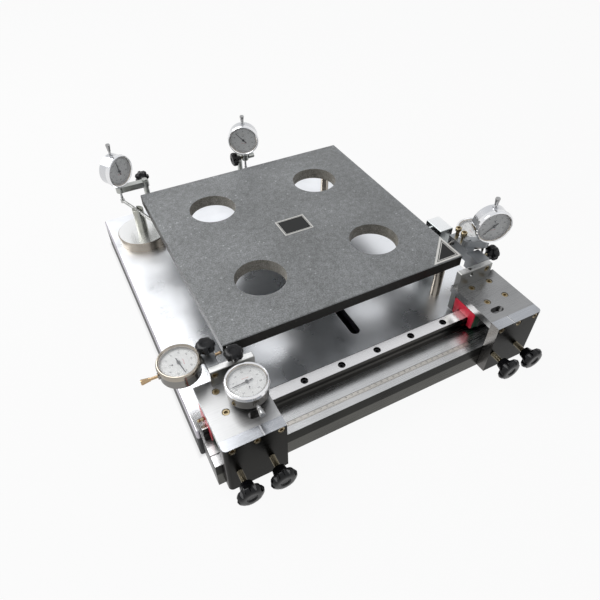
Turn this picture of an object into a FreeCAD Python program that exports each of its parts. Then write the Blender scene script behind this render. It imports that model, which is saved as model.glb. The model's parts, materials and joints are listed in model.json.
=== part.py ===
"""Tile flatness tester: base, linear guide, two gauge carriages, two lever stands and six dial indicators.

Frame: millimetres, +Z up. The origin is on the table, below the centre of the calibration plate.
X runs along the guide rail and Y runs from the guide rail to the back of the base.
"""
import FreeCAD, Part
import math
import os

V = FreeCAD.Vector

# Running fits
turn_clearance = 0.05
stem_clearance = 0.03
touch_gap = 0.3

# Calibration plate
plate_side = 400.0
plate_thick = 20.0
plate_hole_d = 79.0
plate_hole_pitch = 200.0
plate_edge = 1.2

# Base: ground table on a ribbed casting
base_width = 534.0
base_front_behind_rail = 5.0
base_back_y = 284.0
base_top = 56.0
table_thick = 16.0
base_wall = 12.0
base_front_wall = 26.0
base_rib = 10.0
base_pockets = 2
base_edge = 2.0
base_slot_x = 16.0
base_slot_width = 16.0
base_slot_front_y = -198.0
base_slot_back_y = 10.0
bar_bolt_places = (-195.0, -75.0, 75.0, 195.0)

# Bars along the front
bar_length = 524.0
bar_reach = 58.0
bar_seat = 14.5
upper_bar_thick = 20.5
lower_bar_thick = 27.0
rule_y_from_front = 14.0
rule_width = 6.4
rule_length = 400.0
rule_thick = 0.8
rule_groove_depth = 1.2
rule_groove_width = 7.0
rule_left_x = -243.0

# Linear guide
rail_gap = 55.0
rail_width = 23.0
rail_height = 22.0
rail_length = 520.0
rail_joint_x = 30.0
rail_hole_pitch = 60.0
rail_hole_first_x = -227.8
rail_holes = 9
rail_bore_d = 11.0
rail_bore_depth = 9.0
rail_bolt_d = 6.0
rail_bolt_depth = 14.0
rail_clearance = 0.3
block_width = 48.0
block_length = 84.0
block_body_length = 58.0
block_seal_thick = 1.8
block_height = 40.0
block_foot_gap = 5.5
block_foot_ease = 2.0
block_waist = 1.0
block_waist_height = 14.0
block_waist_run = 2.0
block_edge = 2.0
block_screw_pitch = 35.0
left_block_x = -210.5
right_block_x = 213.5
nipple_below_top = 9.0

# Carriage plates
carriage_width = 84.0
carriage_front_gap = 0.5
top_plate_thick = 12.0
front_plate_thick = 16.0
front_plate_drop = 95.0
front_plate_round = 6.0
upright_thick = 10.0
upright_length = 62.0
upright_rise = 28.0
upright_drop = 48.0
upright_back_gap = 18.5
window_length = 22.0
window_width = 11.0
window_offset = 16.0
window_y_from_front = 16.0
left_upright_offset = -19.0
right_upright_offset = -24.0
index_offset = 11.7
index_width = 2.0
index_depth = 0.6
screw_shank_d = 6.0
screw_head_d = 10.0
screw_head_height = 6.0
screw_head_recess = 0.8
screw_head_gap = 0.4
socket_across = 5.0
socket_depth = 3.0
plate_screw_pitch = 32.5
plate_screw_offset = 2.0
block_screw_depth = 8.0
front_screw_depth = 12.0
back_screw_depth = 10.0
arm_screw_depth = 12.0

# Front clamp screws
clamp_pitch = 45.0
clamp_below_top = 57.0
left_clamp_offset = -3.0
right_clamp_offset = -12.0
clamp_screw_d = 8.0
clamp_shank_out = 18.0
big_knob_d = 37.0
big_knob_head = 12.0
big_knob_hub_d = 20.0
big_knob_hub = 10.0
big_knob_lobes = 7

# Small clamp knobs
small_knob_d = 26.0
small_knob_head = 12.0
small_knob_hub_d = 11.0
small_knob_hub = 6.0
small_knob_lobes = 7
small_knob_shank_out = 3.0
small_screw_d = 6.0
right_knob_shank_out = 10.0

# Dial indicators, measured from the centre of the dial
bezel_d = 58.0
bezel_front = 16.0
bezel_back = 7.2
bezel_bevel = 1.6
bezel_lip = 3.4
bezel_spigot_d = 52.4
bezel_spigot_end = 9.7
case_d = 54.5
case_front = 7.0
case_back = 9.0
case_cover_d = 48.0
case_cover = 1.5
dial_plate_thick = 0.6
crystal_thick = 1.0
crystal_setback = 0.8
stem_d = 8.0
stem_end = 48.0
stem_collar_d = 12.0
stem_collar = 2.0
top_bush_d = 9.0
top_bush_end = 29.5
plunger_d = 4.0
plunger_length = 110.0
tip_length = 5.0
tip_d = 5.0
tip_ball_r = 1.6
cap_length = 12.0
cap_top_d = 8.0
cap_foot_d = 5.6
pointer_length = 21.0
pointer_tail = 8.0
pointer_width = 1.6
pointer_thick = 0.5
pointer_hub_d = 4.4
pointer_hub = 1.6
pointer_shaft_d = 1.4
pointer_rise = 1.4

# Stem height in the plate's edge, and how far each plunger is out at rest
stem_above_underside = 4.0
stem_below_upright_top = 8.0
reach_left_side = 58.7
reach_left_front = 63.7
reach_right_side = 59.7
reach_right_free = 66.0
reach_back_left = 61.7
reach_back_middle = 66.7

# Where the dials stand
left_side_dial_y = -196.0
left_front_dial_x = -193.5
right_side_dial_y = -156.5
right_dial_lift = 5.0
right_free_dial_x = 248.0
right_free_dial_y = -193.5
right_free_dial_z = 187.0
right_free_facing = -108.0
back_left_dial_x = -227.0
back_left_dial_y = 241.0
back_left_facing = -56.0
back_middle_dial_x = 19.0
back_middle_dial_y = 236.0
back_middle_facing = -114.0

# Dial arms
arm_case_gap = 2.25
left_arm_screw_offset = 6.3
left_arm_width = 16.5
left_arm_back_y = -187.0
arm_depth = 22.0
right_arm_screw_offset = 11.0
right_arm_width = 13.5
right_arm_back_y = -147.0
right_block_width = 23.0
right_block_back_y = -192.0
right_arm_step = 6.0
right_knob_y = -203.0
right_knob_below_top = 7.0
right_knob_depth = 10.0
right_post_y = -180.0
holder_clamp_offset = 40.5
holder_width = 12.0
holder_height = 11.0
holder_end = 7.0
holder_bar_height = 12.0
tall_screw_out = 13.0
tall_screw_pitch = 13.5

# Stands at the back
foot_d = 90.0
foot_thick = 18.0
foot_edge = 1.5
pillar_d = 20.0
lever_arm = 48.0
lever_d = 6.0
lever_below_plate = 8.0
lever_slot_gap = 0.2
lever_slot_floor = 2.0
pillar_above_lever = 2.0
pivot_d = 3.0
lever_pad_d = 8.0
lever_nub_d = 6.0
post_d = 10.0
post_above_holder = 3.0
back_left_post_x = -180.0
back_left_lever_angle = -70.4
back_middle_post_y = 268.0
holder_boss_d = 10.0
holder_boss = 11.0

# Studs and side stop
stud_d = 16.0
stud_top_d = 10.0
stud_places = ((-180.0, -170.0), (180.0, -180.0), (170.0, 180.0))
stop_x = 208.0
stop_width = 25.0
stop_front_y = -136.0
stop_length = 38.0
stop_pin_y = -110.0
stop_pin_d = 8.0
stop_screw_pitch = 22.0

# Heights and places that follow
rail_y = -(plate_side / 2 + rail_gap)
base_front_y = rail_y + base_front_behind_rail
table_bottom = base_top - table_thick
bar_front_y = base_front_y - bar_reach
bar_back_y = base_front_y + bar_seat
lower_bar_top = base_top - upper_bar_thick
lower_bar_bottom = lower_bar_top - lower_bar_thick
rail_top = base_top + rail_height
block_top = base_top + block_height
carriage_top = block_top + top_plate_thick
upright_top = carriage_top + upright_rise
stem_z = upright_top - stem_below_upright_top
plate_bottom = stem_z - stem_above_underside
plate_top = plate_bottom + plate_thick
edge_x = plate_side / 2
upright_back_y = -(plate_side / 2 + upright_back_gap)
upright_front_y = upright_back_y - upright_thick
plate_front_y = bar_front_y - carriage_front_gap
front_face_y = plate_front_y - front_plate_thick
clamp_z = carriage_top - clamp_below_top
lever_z = plate_bottom - lever_below_plate
lever_top = lever_z + lever_d / 2
right_stem_z = stem_z + right_dial_lift
right_arm_top = upright_top + right_arm_step
case_reach = case_d / 2 + arm_case_gap
left_arm_x = -(edge_x + touch_gap + reach_left_side) + case_reach
right_arm_x = edge_x + touch_gap + reach_right_side - case_reach - right_arm_width

nodes = {}


class Carriage:
    """One side's own places: which way is inward, and where its parts sit along the rail."""

    def __init__(self, side, centre_x, inward, upright_outer, clamp_middle, arm_screw_x):
        self.side = side
        self.centre_x = centre_x
        self.inward = inward
        self.upright_outer = upright_outer
        self.clamp_middle = clamp_middle
        self.arm_screw_x = arm_screw_x

    def x(self, inward_offset):
        """X of a place given as its distance inward from the middle of the guide block."""
        return self.centre_x + self.inward * inward_offset

    def span(self, low, high):
        """The two X values of a stretch given by inward distances, in rising order."""
        return sorted((self.x(low), self.x(high)))


left = Carriage("left", left_block_x, 1, left_upright_offset, left_clamp_offset,
                left_arm_x + left_arm_screw_offset)
right = Carriage("right", right_block_x, -1, right_upright_offset, right_clamp_offset,
                 right_arm_x + right_arm_screw_offset)


def box(low, high):
    """A box between two opposite corners."""
    size = [b - a for a, b in zip(low, high)]
    return Part.makeBox(size[0], size[1], size[2], V(*low))


def rod(diameter, start, end):
    """A round bar from one point to another."""
    start, end = V(*start), V(*end)
    return Part.makeCylinder(diameter / 2, (end - start).Length, start, end - start)


def prism(points, direction):
    """A straight-sided solid from a closed outline of points."""
    wire = Part.makePolygon([V(*p) for p in points] + [V(*points[0])])
    return Part.Face(wire).extrude(V(*direction))


def turned(profile, axis):
    """A full revolve of a closed (radius, height) profile about the local Z or Y axis."""
    if axis == "Z":
        points = [(r, 0, h) for r, h in profile]
        direction = V(0, 0, 1)
    else:
        points = [(r, h, 0) for r, h in profile]
        direction = V(0, 1, 0)
    wire = Part.makePolygon([V(*p) for p in points] + [V(*points[0])])
    return Part.Face(wire).revolve(V(0, 0, 0), direction, 360)


def join(shapes):
    """The fused and cleaned union of a list of solids."""
    return shapes[0].multiFuse(shapes[1:]).removeSplitter()


def group(shapes):
    """Separate solids kept side by side in one node."""
    return Part.makeCompound(shapes)


def oblong(length, width, height, centre, along):
    """A slot-shaped solid that stands on centre and is rounded at both ends."""
    run = (length - width) / 2
    step = V(run, 0, 0) if along == "X" else V(0, run, 0)
    half = V(run, width / 2, 0) if along == "X" else V(width / 2, run, 0)
    middle = Part.makeBox(2 * half.x, 2 * half.y, height, V(*centre) - half)
    ends = [Part.makeCylinder(width / 2, height, V(*centre) + step * s) for s in (-1, 1)]
    return join([middle] + ends)


def edges_where(shape, test):
    """The edges of a shape whose two ends both pass a test."""
    return [e for e in shape.Edges if len(e.Vertexes) == 2 and all(test(v.Point) for v in e.Vertexes)]


def cap_screw(shank_d, shank_length, head_d, head_height):
    """A socket head screw along -Z, with the underside of its head at the origin."""
    head = Part.makeCylinder(head_d / 2, head_height)
    key = Part.makeCylinder(socket_across / 2, socket_depth, V(0, 0, head_height - socket_depth))
    shank = Part.makeCylinder(shank_d / 2, shank_length, V(0, 0, -shank_length))
    return join([head.cut(key), shank])


def aim(shape, origin, direction):
    """Turns a shape's +Z to a direction and moves its origin to a point."""
    turn = FreeCAD.Rotation(V(0, 0, 1), V(*direction))
    placed = shape.copy()
    placed.Placement = FreeCAD.Placement(V(*origin), turn)
    return placed


def star_knob(outer_d, head, hub_d, hub, lobes, screw_d, screw_length):
    """A lobed knob on its screw: hub foot at the origin, head towards +Z, screw towards -Z."""
    radius = outer_d / 2
    crown = radius * 0.2
    profile = [(0, hub), (radius - crown / 2, hub), (radius, hub + crown), (radius, hub + head - crown),
               (radius - crown, hub + head), (0, hub + head)]
    body = turned(profile, "Z")
    scallop = radius * math.sin(math.pi / lobes) * 0.62
    for i in range(lobes):
        angle = 2 * math.pi * (i + 0.5) / lobes
        centre = V(radius * 1.1 * math.cos(angle), radius * 1.1 * math.sin(angle), hub - 1)
        body = body.cut(Part.makeCylinder(scallop, head + 2, centre))
    neck = Part.makeCone(hub_d / 2 * 0.85, hub_d / 2, hub)
    knob = join([body, neck])
    screw = Part.makeCylinder(screw_d / 2, screw_length, V(0, 0, -screw_length))
    return group([knob, screw])


# Base and bed


def base_block(low, high):
    """A block of the base's outline between two heights, corners eased, with the bar's seat cut out."""
    half = base_width / 2
    body = box((-half, base_front_y, low), (half, base_back_y, high))
    upright = [e for e in body.Edges if abs(e.Vertexes[0].Point.z - e.Vertexes[1].Point.z) > 1]
    upper = edges_where(body, lambda p: p.z > base_top - 1)
    body = body.makeChamfer(base_edge, upper + upright)
    seat = box((-bar_length / 2, base_front_y - 1, lower_bar_top), (bar_length / 2, bar_back_y, base_top + 1))
    return body.cut(seat)


def base_table():
    """The ground table with its long slot."""
    slot_y = (base_slot_front_y + base_slot_back_y) / 2
    slot = oblong(base_slot_back_y - base_slot_front_y, base_slot_width, table_thick + 2,
                  (base_slot_x, slot_y, table_bottom - 1), "Y")
    return base_block(table_bottom, base_top).cut(slot).removeSplitter()


def base_casting():
    """Walls and ribs under the table, open below."""
    body = base_block(0, table_bottom)
    inner_x = base_width - 2 * base_wall
    inner_y = base_back_y - base_front_y - base_wall - base_front_wall
    cell_x = (inner_x - (base_pockets - 1) * base_rib) / base_pockets
    cell_y = (inner_y - (base_pockets - 1) * base_rib) / base_pockets
    for i in range(base_pockets):
        for j in range(base_pockets):
            x = -inner_x / 2 + i * (cell_x + base_rib)
            y = base_front_y + base_front_wall + j * (cell_y + base_rib)
            body = body.cut(box((x, y, -1), (x + cell_x, y + cell_y, table_bottom + 1)))
    for x in bar_bolt_places:
        body = body.cut(rod(rail_bolt_d + 2, (x, base_front_y - 1, lower_bolt_z()),
                            (x, base_front_y + base_front_wall + 1, lower_bolt_z())))
    return body.removeSplitter()


def lower_bolt_z():
    return (lower_bar_bottom + lower_bar_top) / 2


def rail_bolt_places():
    return [rail_hole_first_x + i * rail_hole_pitch for i in range(rail_holes)]


def upper_bar():
    half = bar_length / 2
    body = box((-half, bar_front_y, lower_bar_top), (half, bar_back_y, base_top))
    groove_y = bar_front_y + rule_y_from_front
    groove = box((-half - 1, groove_y - rule_groove_width / 2, base_top - rule_groove_depth),
                 (half + 1, groove_y + rule_groove_width / 2, base_top + 1))
    body = body.cut(groove)
    for x in rail_bolt_places():
        body = body.cut(rod(rail_bolt_d, (x, rail_y, base_top - rail_bolt_depth), (x, rail_y, base_top + 1)))
    return body


def lower_bar():
    half = bar_length / 2
    body = box((-half, bar_front_y, lower_bar_bottom), (half, base_front_y, lower_bar_top))
    low = edges_where(body, lambda p: p.z < lower_bar_bottom + 1 and p.y < bar_front_y + 1)
    body = body.makeChamfer(1.0, low)
    for x in bar_bolt_places:
        body = body.cut(rod(rail_bolt_d + 2, (x, base_front_y - base_front_wall, lower_bolt_z()),
                            (x, base_front_y + 1, lower_bolt_z())))
    return body


def rail_profile():
    half = rail_width / 2
    waist = half - 2.2
    side = [(half, 0), (half, 0.36 * rail_height), (waist, 0.46 * rail_height), (waist, 0.62 * rail_height),
            (half, 0.72 * rail_height), (half, 0.88 * rail_height), (half - 2.6, rail_height)]
    mirrored = [(-y, z) for y, z in reversed(side)]
    return [(0, rail_y + y, base_top + z) for y, z in side + mirrored]


def guide_rails():
    lengths = []
    for x0, x1 in ((-rail_length / 2, rail_joint_x), (rail_joint_x, rail_length / 2)):
        outline = [(x0, y, z) for _, y, z in rail_profile()]
        length = prism(outline, (x1 - x0, 0, 0))
        for x in rail_bolt_places():
            if x0 < x < x1:
                above = (x, rail_y, rail_top + 1)
                length = length.cut(rod(rail_bolt_d + 1, (x, rail_y, base_top - 1), above))
                length = length.cut(rod(rail_bore_d, (x, rail_y, rail_top - rail_bore_depth), above))
        lengths.append(length)
    return group(lengths)


def frame_bolts():
    bolts = []
    head = rail_bore_d - 1
    shank = rail_height - rail_bore_depth + rail_bolt_depth
    rail_bolt = cap_screw(rail_bolt_d, shank, head, screw_head_height)
    for x in rail_bolt_places():
        bolts.append(aim(rail_bolt, (x, rail_y, rail_top - rail_bore_depth), (0, 0, 1)))
    bar_bolt = cap_screw(rail_bolt_d + 2, 2 * base_front_wall, head + 3, screw_head_height + 2)
    for x in bar_bolt_places:
        bolts.append(aim(bar_bolt, (x, base_front_y + base_front_wall, lower_bolt_z()), (0, 1, 0)))
    return group(bolts)


def steel_rule():
    y = bar_front_y + rule_y_from_front
    z = base_top - rule_groove_depth
    return box((rule_left_x, y - rule_width / 2, z),
               (rule_left_x + rule_length, y + rule_width / 2, z + rule_thick))


def support_studs():
    height = plate_bottom - base_top
    shoulder = height - (stud_d - stud_top_d)
    profile = [(0, 0), (stud_d / 2, 0), (stud_d / 2, shoulder), (stud_top_d / 2, height - 1),
               (stud_top_d / 2 - 1, height), (0, height)]
    stud = turned(profile, "Z")
    return group([stud.translated(V(x, y, base_top)) for x, y in stud_places])


def side_stop():
    top = plate_top
    block = box((stop_x, stop_front_y, base_top), (stop_x + stop_width, stop_front_y + stop_length, top))
    block = block.makeChamfer(1.0, edges_where(block, lambda p: p.z > top - 1))
    pin_z = plate_bottom + plate_thick / 2
    pin = rod(stop_pin_d, (edge_x + touch_gap + 2, stop_pin_y, pin_z), (stop_x, stop_pin_y, pin_z))
    nose = Part.makeCone(stop_pin_d / 2, stop_pin_d / 4, 2,
                         V(edge_x + touch_gap + 2, stop_pin_y, pin_z), V(-1, 0, 0))
    return group([block, join([pin, nose])])


def calibration_plate():
    half = plate_side / 2
    plate = box((-half, -half, plate_bottom), (half, half, plate_top))
    plate = plate.makeChamfer(plate_edge, plate.Edges)
    for sx in (-1, 1):
        for sy in (-1, 1):
            centre = (sx * plate_hole_pitch / 2, sy * plate_hole_pitch / 2)
            plate = plate.cut(rod(plate_hole_d, (*centre, plate_bottom - 1), (*centre, plate_top + 1)))
    return plate


# Carriages


def block_outline(inset, foot):
    """The outer half outline of the guide block, from foot to top, as (y offset, z)."""
    half = block_width / 2 - inset
    low = base_top + foot
    waist = half - block_waist
    waist_top = low + block_waist_height
    side = [(waist - block_foot_ease, low), (waist, low + block_foot_ease), (waist, waist_top),
            (half, waist_top + block_waist_run), (half, block_top - block_edge - inset),
            (half - block_edge, block_top - inset)]
    return side + [(-y, z) for y, z in reversed(side)]


def block_slice(x0, x1, inset, foot, clearance):
    """A stretch of the block with the rail's way cut out of it."""
    outline = [(x0, rail_y + y, z) for y, z in block_outline(inset, foot)]
    body = prism(outline, (x1 - x0, 0, 0))
    half = rail_width / 2 + clearance
    return body.cut(box((x0 - 1, rail_y - half, base_top - 1), (x1 + 1, rail_y + half, rail_top + clearance)))


def guide_block(c):
    half = block_body_length / 2
    x0, x1 = c.span(-half, half)
    body = block_slice(x0, x1, 0, block_foot_gap, rail_clearance)
    for sx in (-1, 1):
        for sy in (-1, 1):
            x, y = c.x(sx * block_screw_pitch / 2), rail_y + sy * block_screw_pitch / 2
            body = body.cut(rod(screw_shank_d, (x, y, block_top - block_screw_depth), (x, y, block_top + 1)))
    return body


def block_ends(c):
    solids = []
    inner, outer = block_body_length / 2, block_length / 2
    for sign in (-1, 1):
        cap = c.span(sign * inner, sign * (outer - block_seal_thick))
        seal = c.span(sign * (outer - block_seal_thick), sign * outer)
        solids.append(block_slice(cap[0], cap[1], 1.0, block_foot_gap + 1, 0.5))
        solids.append(block_slice(seal[0], seal[1], 1.6, block_foot_gap + 1.5, rail_clearance))
    outward = -c.inward
    x = c.x(-outer)
    z = block_top - nipple_below_top
    nipple = turned([(0, 0), (2.5, 0), (2.5, 4), (1.5, 5), (1.5, 6), (2.2, 7.2), (2.2, 8.6), (1.4, 10),
                     (0, 10)], "Z")
    solids.append(aim(nipple, (x, rail_y, z), (outward, 0, 0)))
    return group(solids)


def block_screw_places(c):
    half = block_screw_pitch / 2
    return [(c.x(sx * half), rail_y + sy * half) for sx in (-1, 1) for sy in (-1, 1)]


def plate_screw_places(c):
    return [c.x(plate_screw_offset + i * plate_screw_pitch) for i in (-1, 0, 1)]


def upright_span(c):
    return c.span(c.upright_outer, c.upright_outer + upright_length)


def top_plate(c):
    x0, x1 = c.span(-carriage_width / 2, carriage_width / 2)
    plate = box((x0, plate_front_y, block_top), (x1, upright_back_y, carriage_top))
    u0, u1 = upright_span(c)
    plate = plate.cut(box((u0, upright_front_y, block_top - 1), (u1, upright_back_y + 1, carriage_top + 1)))
    head = screw_head_d + screw_head_gap
    for x, y in block_screw_places(c):
        seat = carriage_top - screw_head_height - screw_head_recess
        plate = plate.cut(rod(head, (x, y, seat), (x, y, carriage_top + 1)))
        plate = plate.cut(rod(screw_shank_d, (x, y, block_top - 1), (x, y, carriage_top)))
    window_y = bar_front_y + window_y_from_front
    window = oblong(window_length, window_width, top_plate_thick + 2,
                    (c.x(window_offset), window_y, block_top - 1), "X")
    plate = plate.cut(window)
    middle = (block_top + carriage_top) / 2
    for x in plate_screw_places(c):
        plate = plate.cut(rod(screw_shank_d, (x, plate_front_y - 1, middle),
                              (x, plate_front_y + front_screw_depth, middle)))
    for x in upright_screw_places(c):
        plate = plate.cut(rod(screw_shank_d, (x, upright_front_y - back_screw_depth, middle),
                              (x, upright_front_y + 1, middle)))
    return plate


def upright_screw_places(c):
    u0, u1 = upright_span(c)
    inset = upright_length / 4
    return [u0 + inset, u1 - inset]


def front_plate(c):
    x0, x1 = c.span(-carriage_width / 2, carriage_width / 2)
    bottom = carriage_top - front_plate_drop
    plate = box((x0, front_face_y, bottom), (x1, plate_front_y, carriage_top))
    corners = [e for e in plate.Edges if all(v.Point.y < front_face_y + 1 for v in e.Vertexes)
               and abs(e.Vertexes[0].Point.z - e.Vertexes[1].Point.z) > 1]
    outer = [e for e in corners if (e.Vertexes[0].Point.x - c.centre_x) * c.inward < 0]
    plate = plate.makeFillet(front_plate_round, outer)
    index_x = c.x(index_offset)
    plate = plate.cut(box((index_x - index_width / 2, front_face_y - 1, carriage_top - index_depth),
                          (index_x + index_width / 2, plate_front_y + 1, carriage_top + 1)))
    middle = (block_top + carriage_top) / 2
    seat = front_face_y + screw_head_height + screw_head_recess
    for x in plate_screw_places(c):
        plate = plate.cut(rod(screw_head_d + screw_head_gap, (x, front_face_y - 1, middle),
                              (x, seat, middle)))
        plate = plate.cut(rod(screw_shank_d, (x, seat - 1, middle), (x, plate_front_y + 1, middle)))
    for x in clamp_places(c):
        plate = plate.cut(rod(clamp_screw_d + 2 * turn_clearance, (x, front_face_y - 1, clamp_z),
                              (x, plate_front_y + 1, clamp_z)))
    return plate


def clamp_places(c):
    return [c.centre_x + c.clamp_middle + side * clamp_pitch / 2 for side in (-1, 1)]


def upright(c):
    u0, u1 = upright_span(c)
    plate = box((u0, upright_front_y, block_top - upright_drop + top_plate_thick),
                (u1, upright_back_y, upright_top))
    plate = plate.makeChamfer(0.8, edges_where(plate, lambda p: p.z > upright_top - 1))
    stem_x = stem_hole_x(c)
    plate = plate.cut(rod(stem_d + 2 * stem_clearance, (stem_x, upright_front_y - 1, stem_z),
                          (stem_x, upright_back_y + 1, stem_z)))
    middle_y = (upright_front_y + upright_back_y) / 2
    plate = plate.cut(rod(small_screw_d + 2 * turn_clearance, (stem_x, middle_y, stem_z),
                          (stem_x, middle_y, upright_top + 1)))
    seat = upright_front_y + screw_head_height + screw_head_recess
    head = screw_head_d + screw_head_gap
    plate = plate.cut(rod(head, (c.arm_screw_x, upright_front_y - 1, stem_z), (c.arm_screw_x, seat, stem_z)))
    plate = plate.cut(rod(screw_shank_d, (c.arm_screw_x, seat - 1, stem_z),
                          (c.arm_screw_x, upright_back_y + 1, stem_z)))
    z = (block_top + carriage_top) / 2
    for x in upright_screw_places(c):
        back_seat = upright_back_y - screw_head_height - screw_head_recess
        plate = plate.cut(rod(head, (x, back_seat, z), (x, upright_back_y + 1, z)))
        plate = plate.cut(rod(screw_shank_d, (x, upright_front_y - 1, z), (x, back_seat + 1, z)))
    return plate


def stem_hole_x(c):
    """The stem hole lines up with the left front dial, and mirrors it on the right."""
    inward_offset = left_front_dial_x - left.centre_x
    return c.x(inward_offset)


def carriage_screws(c):
    screws = []
    top_grip = top_plate_thick - screw_head_height - screw_head_recess
    long_screw = cap_screw(screw_shank_d, top_grip + block_screw_depth, screw_head_d, screw_head_height)
    for x, y in block_screw_places(c):
        seat = carriage_top - screw_head_height - screw_head_recess
        screws.append(aim(long_screw, (x, y, seat), (0, 0, 1)))
    z = (block_top + carriage_top) / 2
    front_grip = front_plate_thick - screw_head_height - screw_head_recess
    front_screw = cap_screw(screw_shank_d, front_grip + front_screw_depth, screw_head_d, screw_head_height)
    front_seat = front_face_y + screw_head_height + screw_head_recess
    for x in plate_screw_places(c):
        screws.append(aim(front_screw, (x, front_seat, z), (0, -1, 0)))
    back_grip = upright_thick - screw_head_height - screw_head_recess
    back_screw = cap_screw(screw_shank_d, back_grip + back_screw_depth, screw_head_d, screw_head_height)
    back_seat = upright_back_y - screw_head_height - screw_head_recess
    for x in upright_screw_places(c):
        screws.append(aim(back_screw, (x, back_seat, z), (0, 1, 0)))
    arm_screw = cap_screw(screw_shank_d, back_grip + arm_screw_depth, screw_head_d, screw_head_height)
    seat = upright_front_y + screw_head_height + screw_head_recess
    screws.append(aim(arm_screw, (c.arm_screw_x, seat, stem_z), (0, -1, 0)))
    if c is right:
        screws += tall_screws()
    return group(screws)


def arm_screw_hole(c):
    return rod(screw_shank_d, (c.arm_screw_x, upright_back_y - 1, stem_z),
               (c.arm_screw_x, upright_back_y + arm_screw_depth, stem_z))


def left_dial_arm():
    arm = box((left_arm_x, upright_back_y, upright_top - arm_depth),
              (left_arm_x + left_arm_width, left_arm_back_y, upright_top))
    arm = arm.makeChamfer(0.8, edges_where(arm, lambda p: p.z > upright_top - 1))
    arm = arm.cut(rod(stem_d + 2 * stem_clearance, (left_arm_x - 1, left_side_dial_y, stem_z),
                      (left_arm_x + left_arm_width + 1, left_side_dial_y, stem_z)))
    knob_x = left_arm_x + left_arm_width / 2
    arm = arm.cut(rod(small_screw_d + 2 * turn_clearance, (knob_x, left_side_dial_y, stem_z),
                      (knob_x, left_side_dial_y, upright_top + 1)))
    return arm.cut(arm_screw_hole(left))


def tall_screw_places():
    x = right_arm_x + right_arm_width / 2
    return [(x, right_side_dial_y), (x, right_side_dial_y - tall_screw_pitch)]


def tall_screws():
    """Two socket screws that stand proud of the right arm: one bears on the dial stem, one locks the arm."""
    screws = []
    bore_top = right_stem_z + stem_d / 2
    for x, y in tall_screw_places():
        length = right_arm_top - bore_top - touch_gap + tall_screw_out
        screw = cap_screw(screw_shank_d, length, screw_head_d, screw_head_height)
        screws.append(aim(screw, (x, y, right_arm_top + tall_screw_out), (0, 0, 1)))
    return screws


def holder_bar(start, end, middle_z, height, stem_first):
    """A flat bar with rounded ends and a hole for a stem at one end and for a post at the other."""
    run = V(end[0] - start[0], end[1] - start[1], 0)
    along = V(run).normalize()
    across = V(-along.y, along.x, 0) * (holder_width / 2)
    low = V(start[0], start[1], middle_z - height / 2)
    corners = [low + across, low - across, low - across + run, low + across + run]
    middle = prism([tuple(p) for p in corners], (0, 0, height))
    ends = [Part.makeCylinder(holder_end, height, low), Part.makeCylinder(holder_end, height, low + run)]
    bar = join([middle] + ends)
    stem, post = (start, end) if stem_first else (end, start)
    for place, hole in ((stem, stem_d + 2 * stem_clearance), (post, post_d)):
        bar = bar.cut(Part.makeCylinder(hole / 2, height + 2, V(place[0], place[1], low.z - 1)))
    return bar


def right_dial_arm():
    block = box((right_arm_x, upright_back_y, upright_top - arm_depth - 4),
                (right_arm_x + right_block_width, right_block_back_y, upright_top))
    arm = box((right_arm_x, right_block_back_y, right_arm_top - arm_depth),
              (right_arm_x + right_arm_width, right_arm_back_y, right_arm_top))
    arm = join([block, arm])
    arm = arm.cut(rod(stem_d + 2 * stem_clearance, (right_arm_x - 1, right_side_dial_y, right_stem_z),
                      (right_arm_x + right_arm_width + 1, right_side_dial_y, right_stem_z)))
    for x, y in tall_screw_places():
        arm = arm.cut(rod(screw_shank_d, (x, y, right_stem_z + stem_d / 2 + touch_gap),
                          (x, y, right_arm_top + 1)))
    arm = arm.cut(rod(stem_d / 2, (right_arm_x + right_arm_width / 2, right_side_dial_y, right_stem_z),
                      (right_arm_x + right_arm_width / 2, right_side_dial_y, right_stem_z + stem_d)))
    knob_z = upright_top - right_knob_below_top
    edge = right_arm_x + right_block_width
    arm = arm.cut(rod(small_screw_d + 2 * turn_clearance, (edge - right_knob_depth, right_knob_y, knob_z),
                      (edge + 1, right_knob_y, knob_z)))
    arm = arm.cut(arm_screw_hole(right))
    post_x = right_arm_x + right_arm_width / 2
    post_low = right_arm_top - 8
    tail = rod(post_d - 2, (post_x, right_post_y, post_low), (post_x, right_post_y, right_arm_top + 1))
    arm = arm.cut(tail)
    bar_z = right_arm_top + holder_bar_height / 2
    bar = holder_bar((post_x, right_post_y), (right_free_dial_x, right_free_dial_y), bar_z,
                     holder_bar_height, False)
    collar = rod(post_d, (post_x, right_post_y, right_arm_top),
                 (post_x, right_post_y, right_arm_top + holder_bar_height + 2))
    post = join([collar, tail])
    return group([arm, bar, post])


# Dial indicators


def dial_case():
    """Case with stem, in the dial's own frame: plunger axis on Z, face towards -Y."""
    body = turned([(0, -case_front - 2.2), (bezel_spigot_d / 2, -case_front - 2.2),
                   (bezel_spigot_d / 2, -case_front), (case_d / 2, -case_front),
                   (case_d / 2, case_back - 1), (case_d / 2 - 1, case_back),
                   (case_cover_d / 2, case_back), (case_cover_d / 2, case_back + case_cover),
                   (0, case_back + case_cover)], "Y")
    inner = case_d / 2 - 3
    stem = rod(stem_d, (0, 0, -inner), (0, 0, -stem_end))
    collar = rod(stem_collar_d, (0, 0, -inner), (0, 0, -(case_d / 2 + stem_collar)))
    bush = rod(top_bush_d, (0, 0, inner), (0, 0, top_bush_end))
    case = join([body, stem, collar, bush])
    case = case.cut(rod(plunger_d + 2 * turn_clearance, (0, 0, -stem_end - 1), (0, 0, top_bush_end + 1)))
    shaft = rod(pointer_shaft_d + 2 * turn_clearance, (0, -case_front - 3, 0), (0, -plunger_d / 2 - 0.6, 0))
    return case.cut(shaft)


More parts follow.
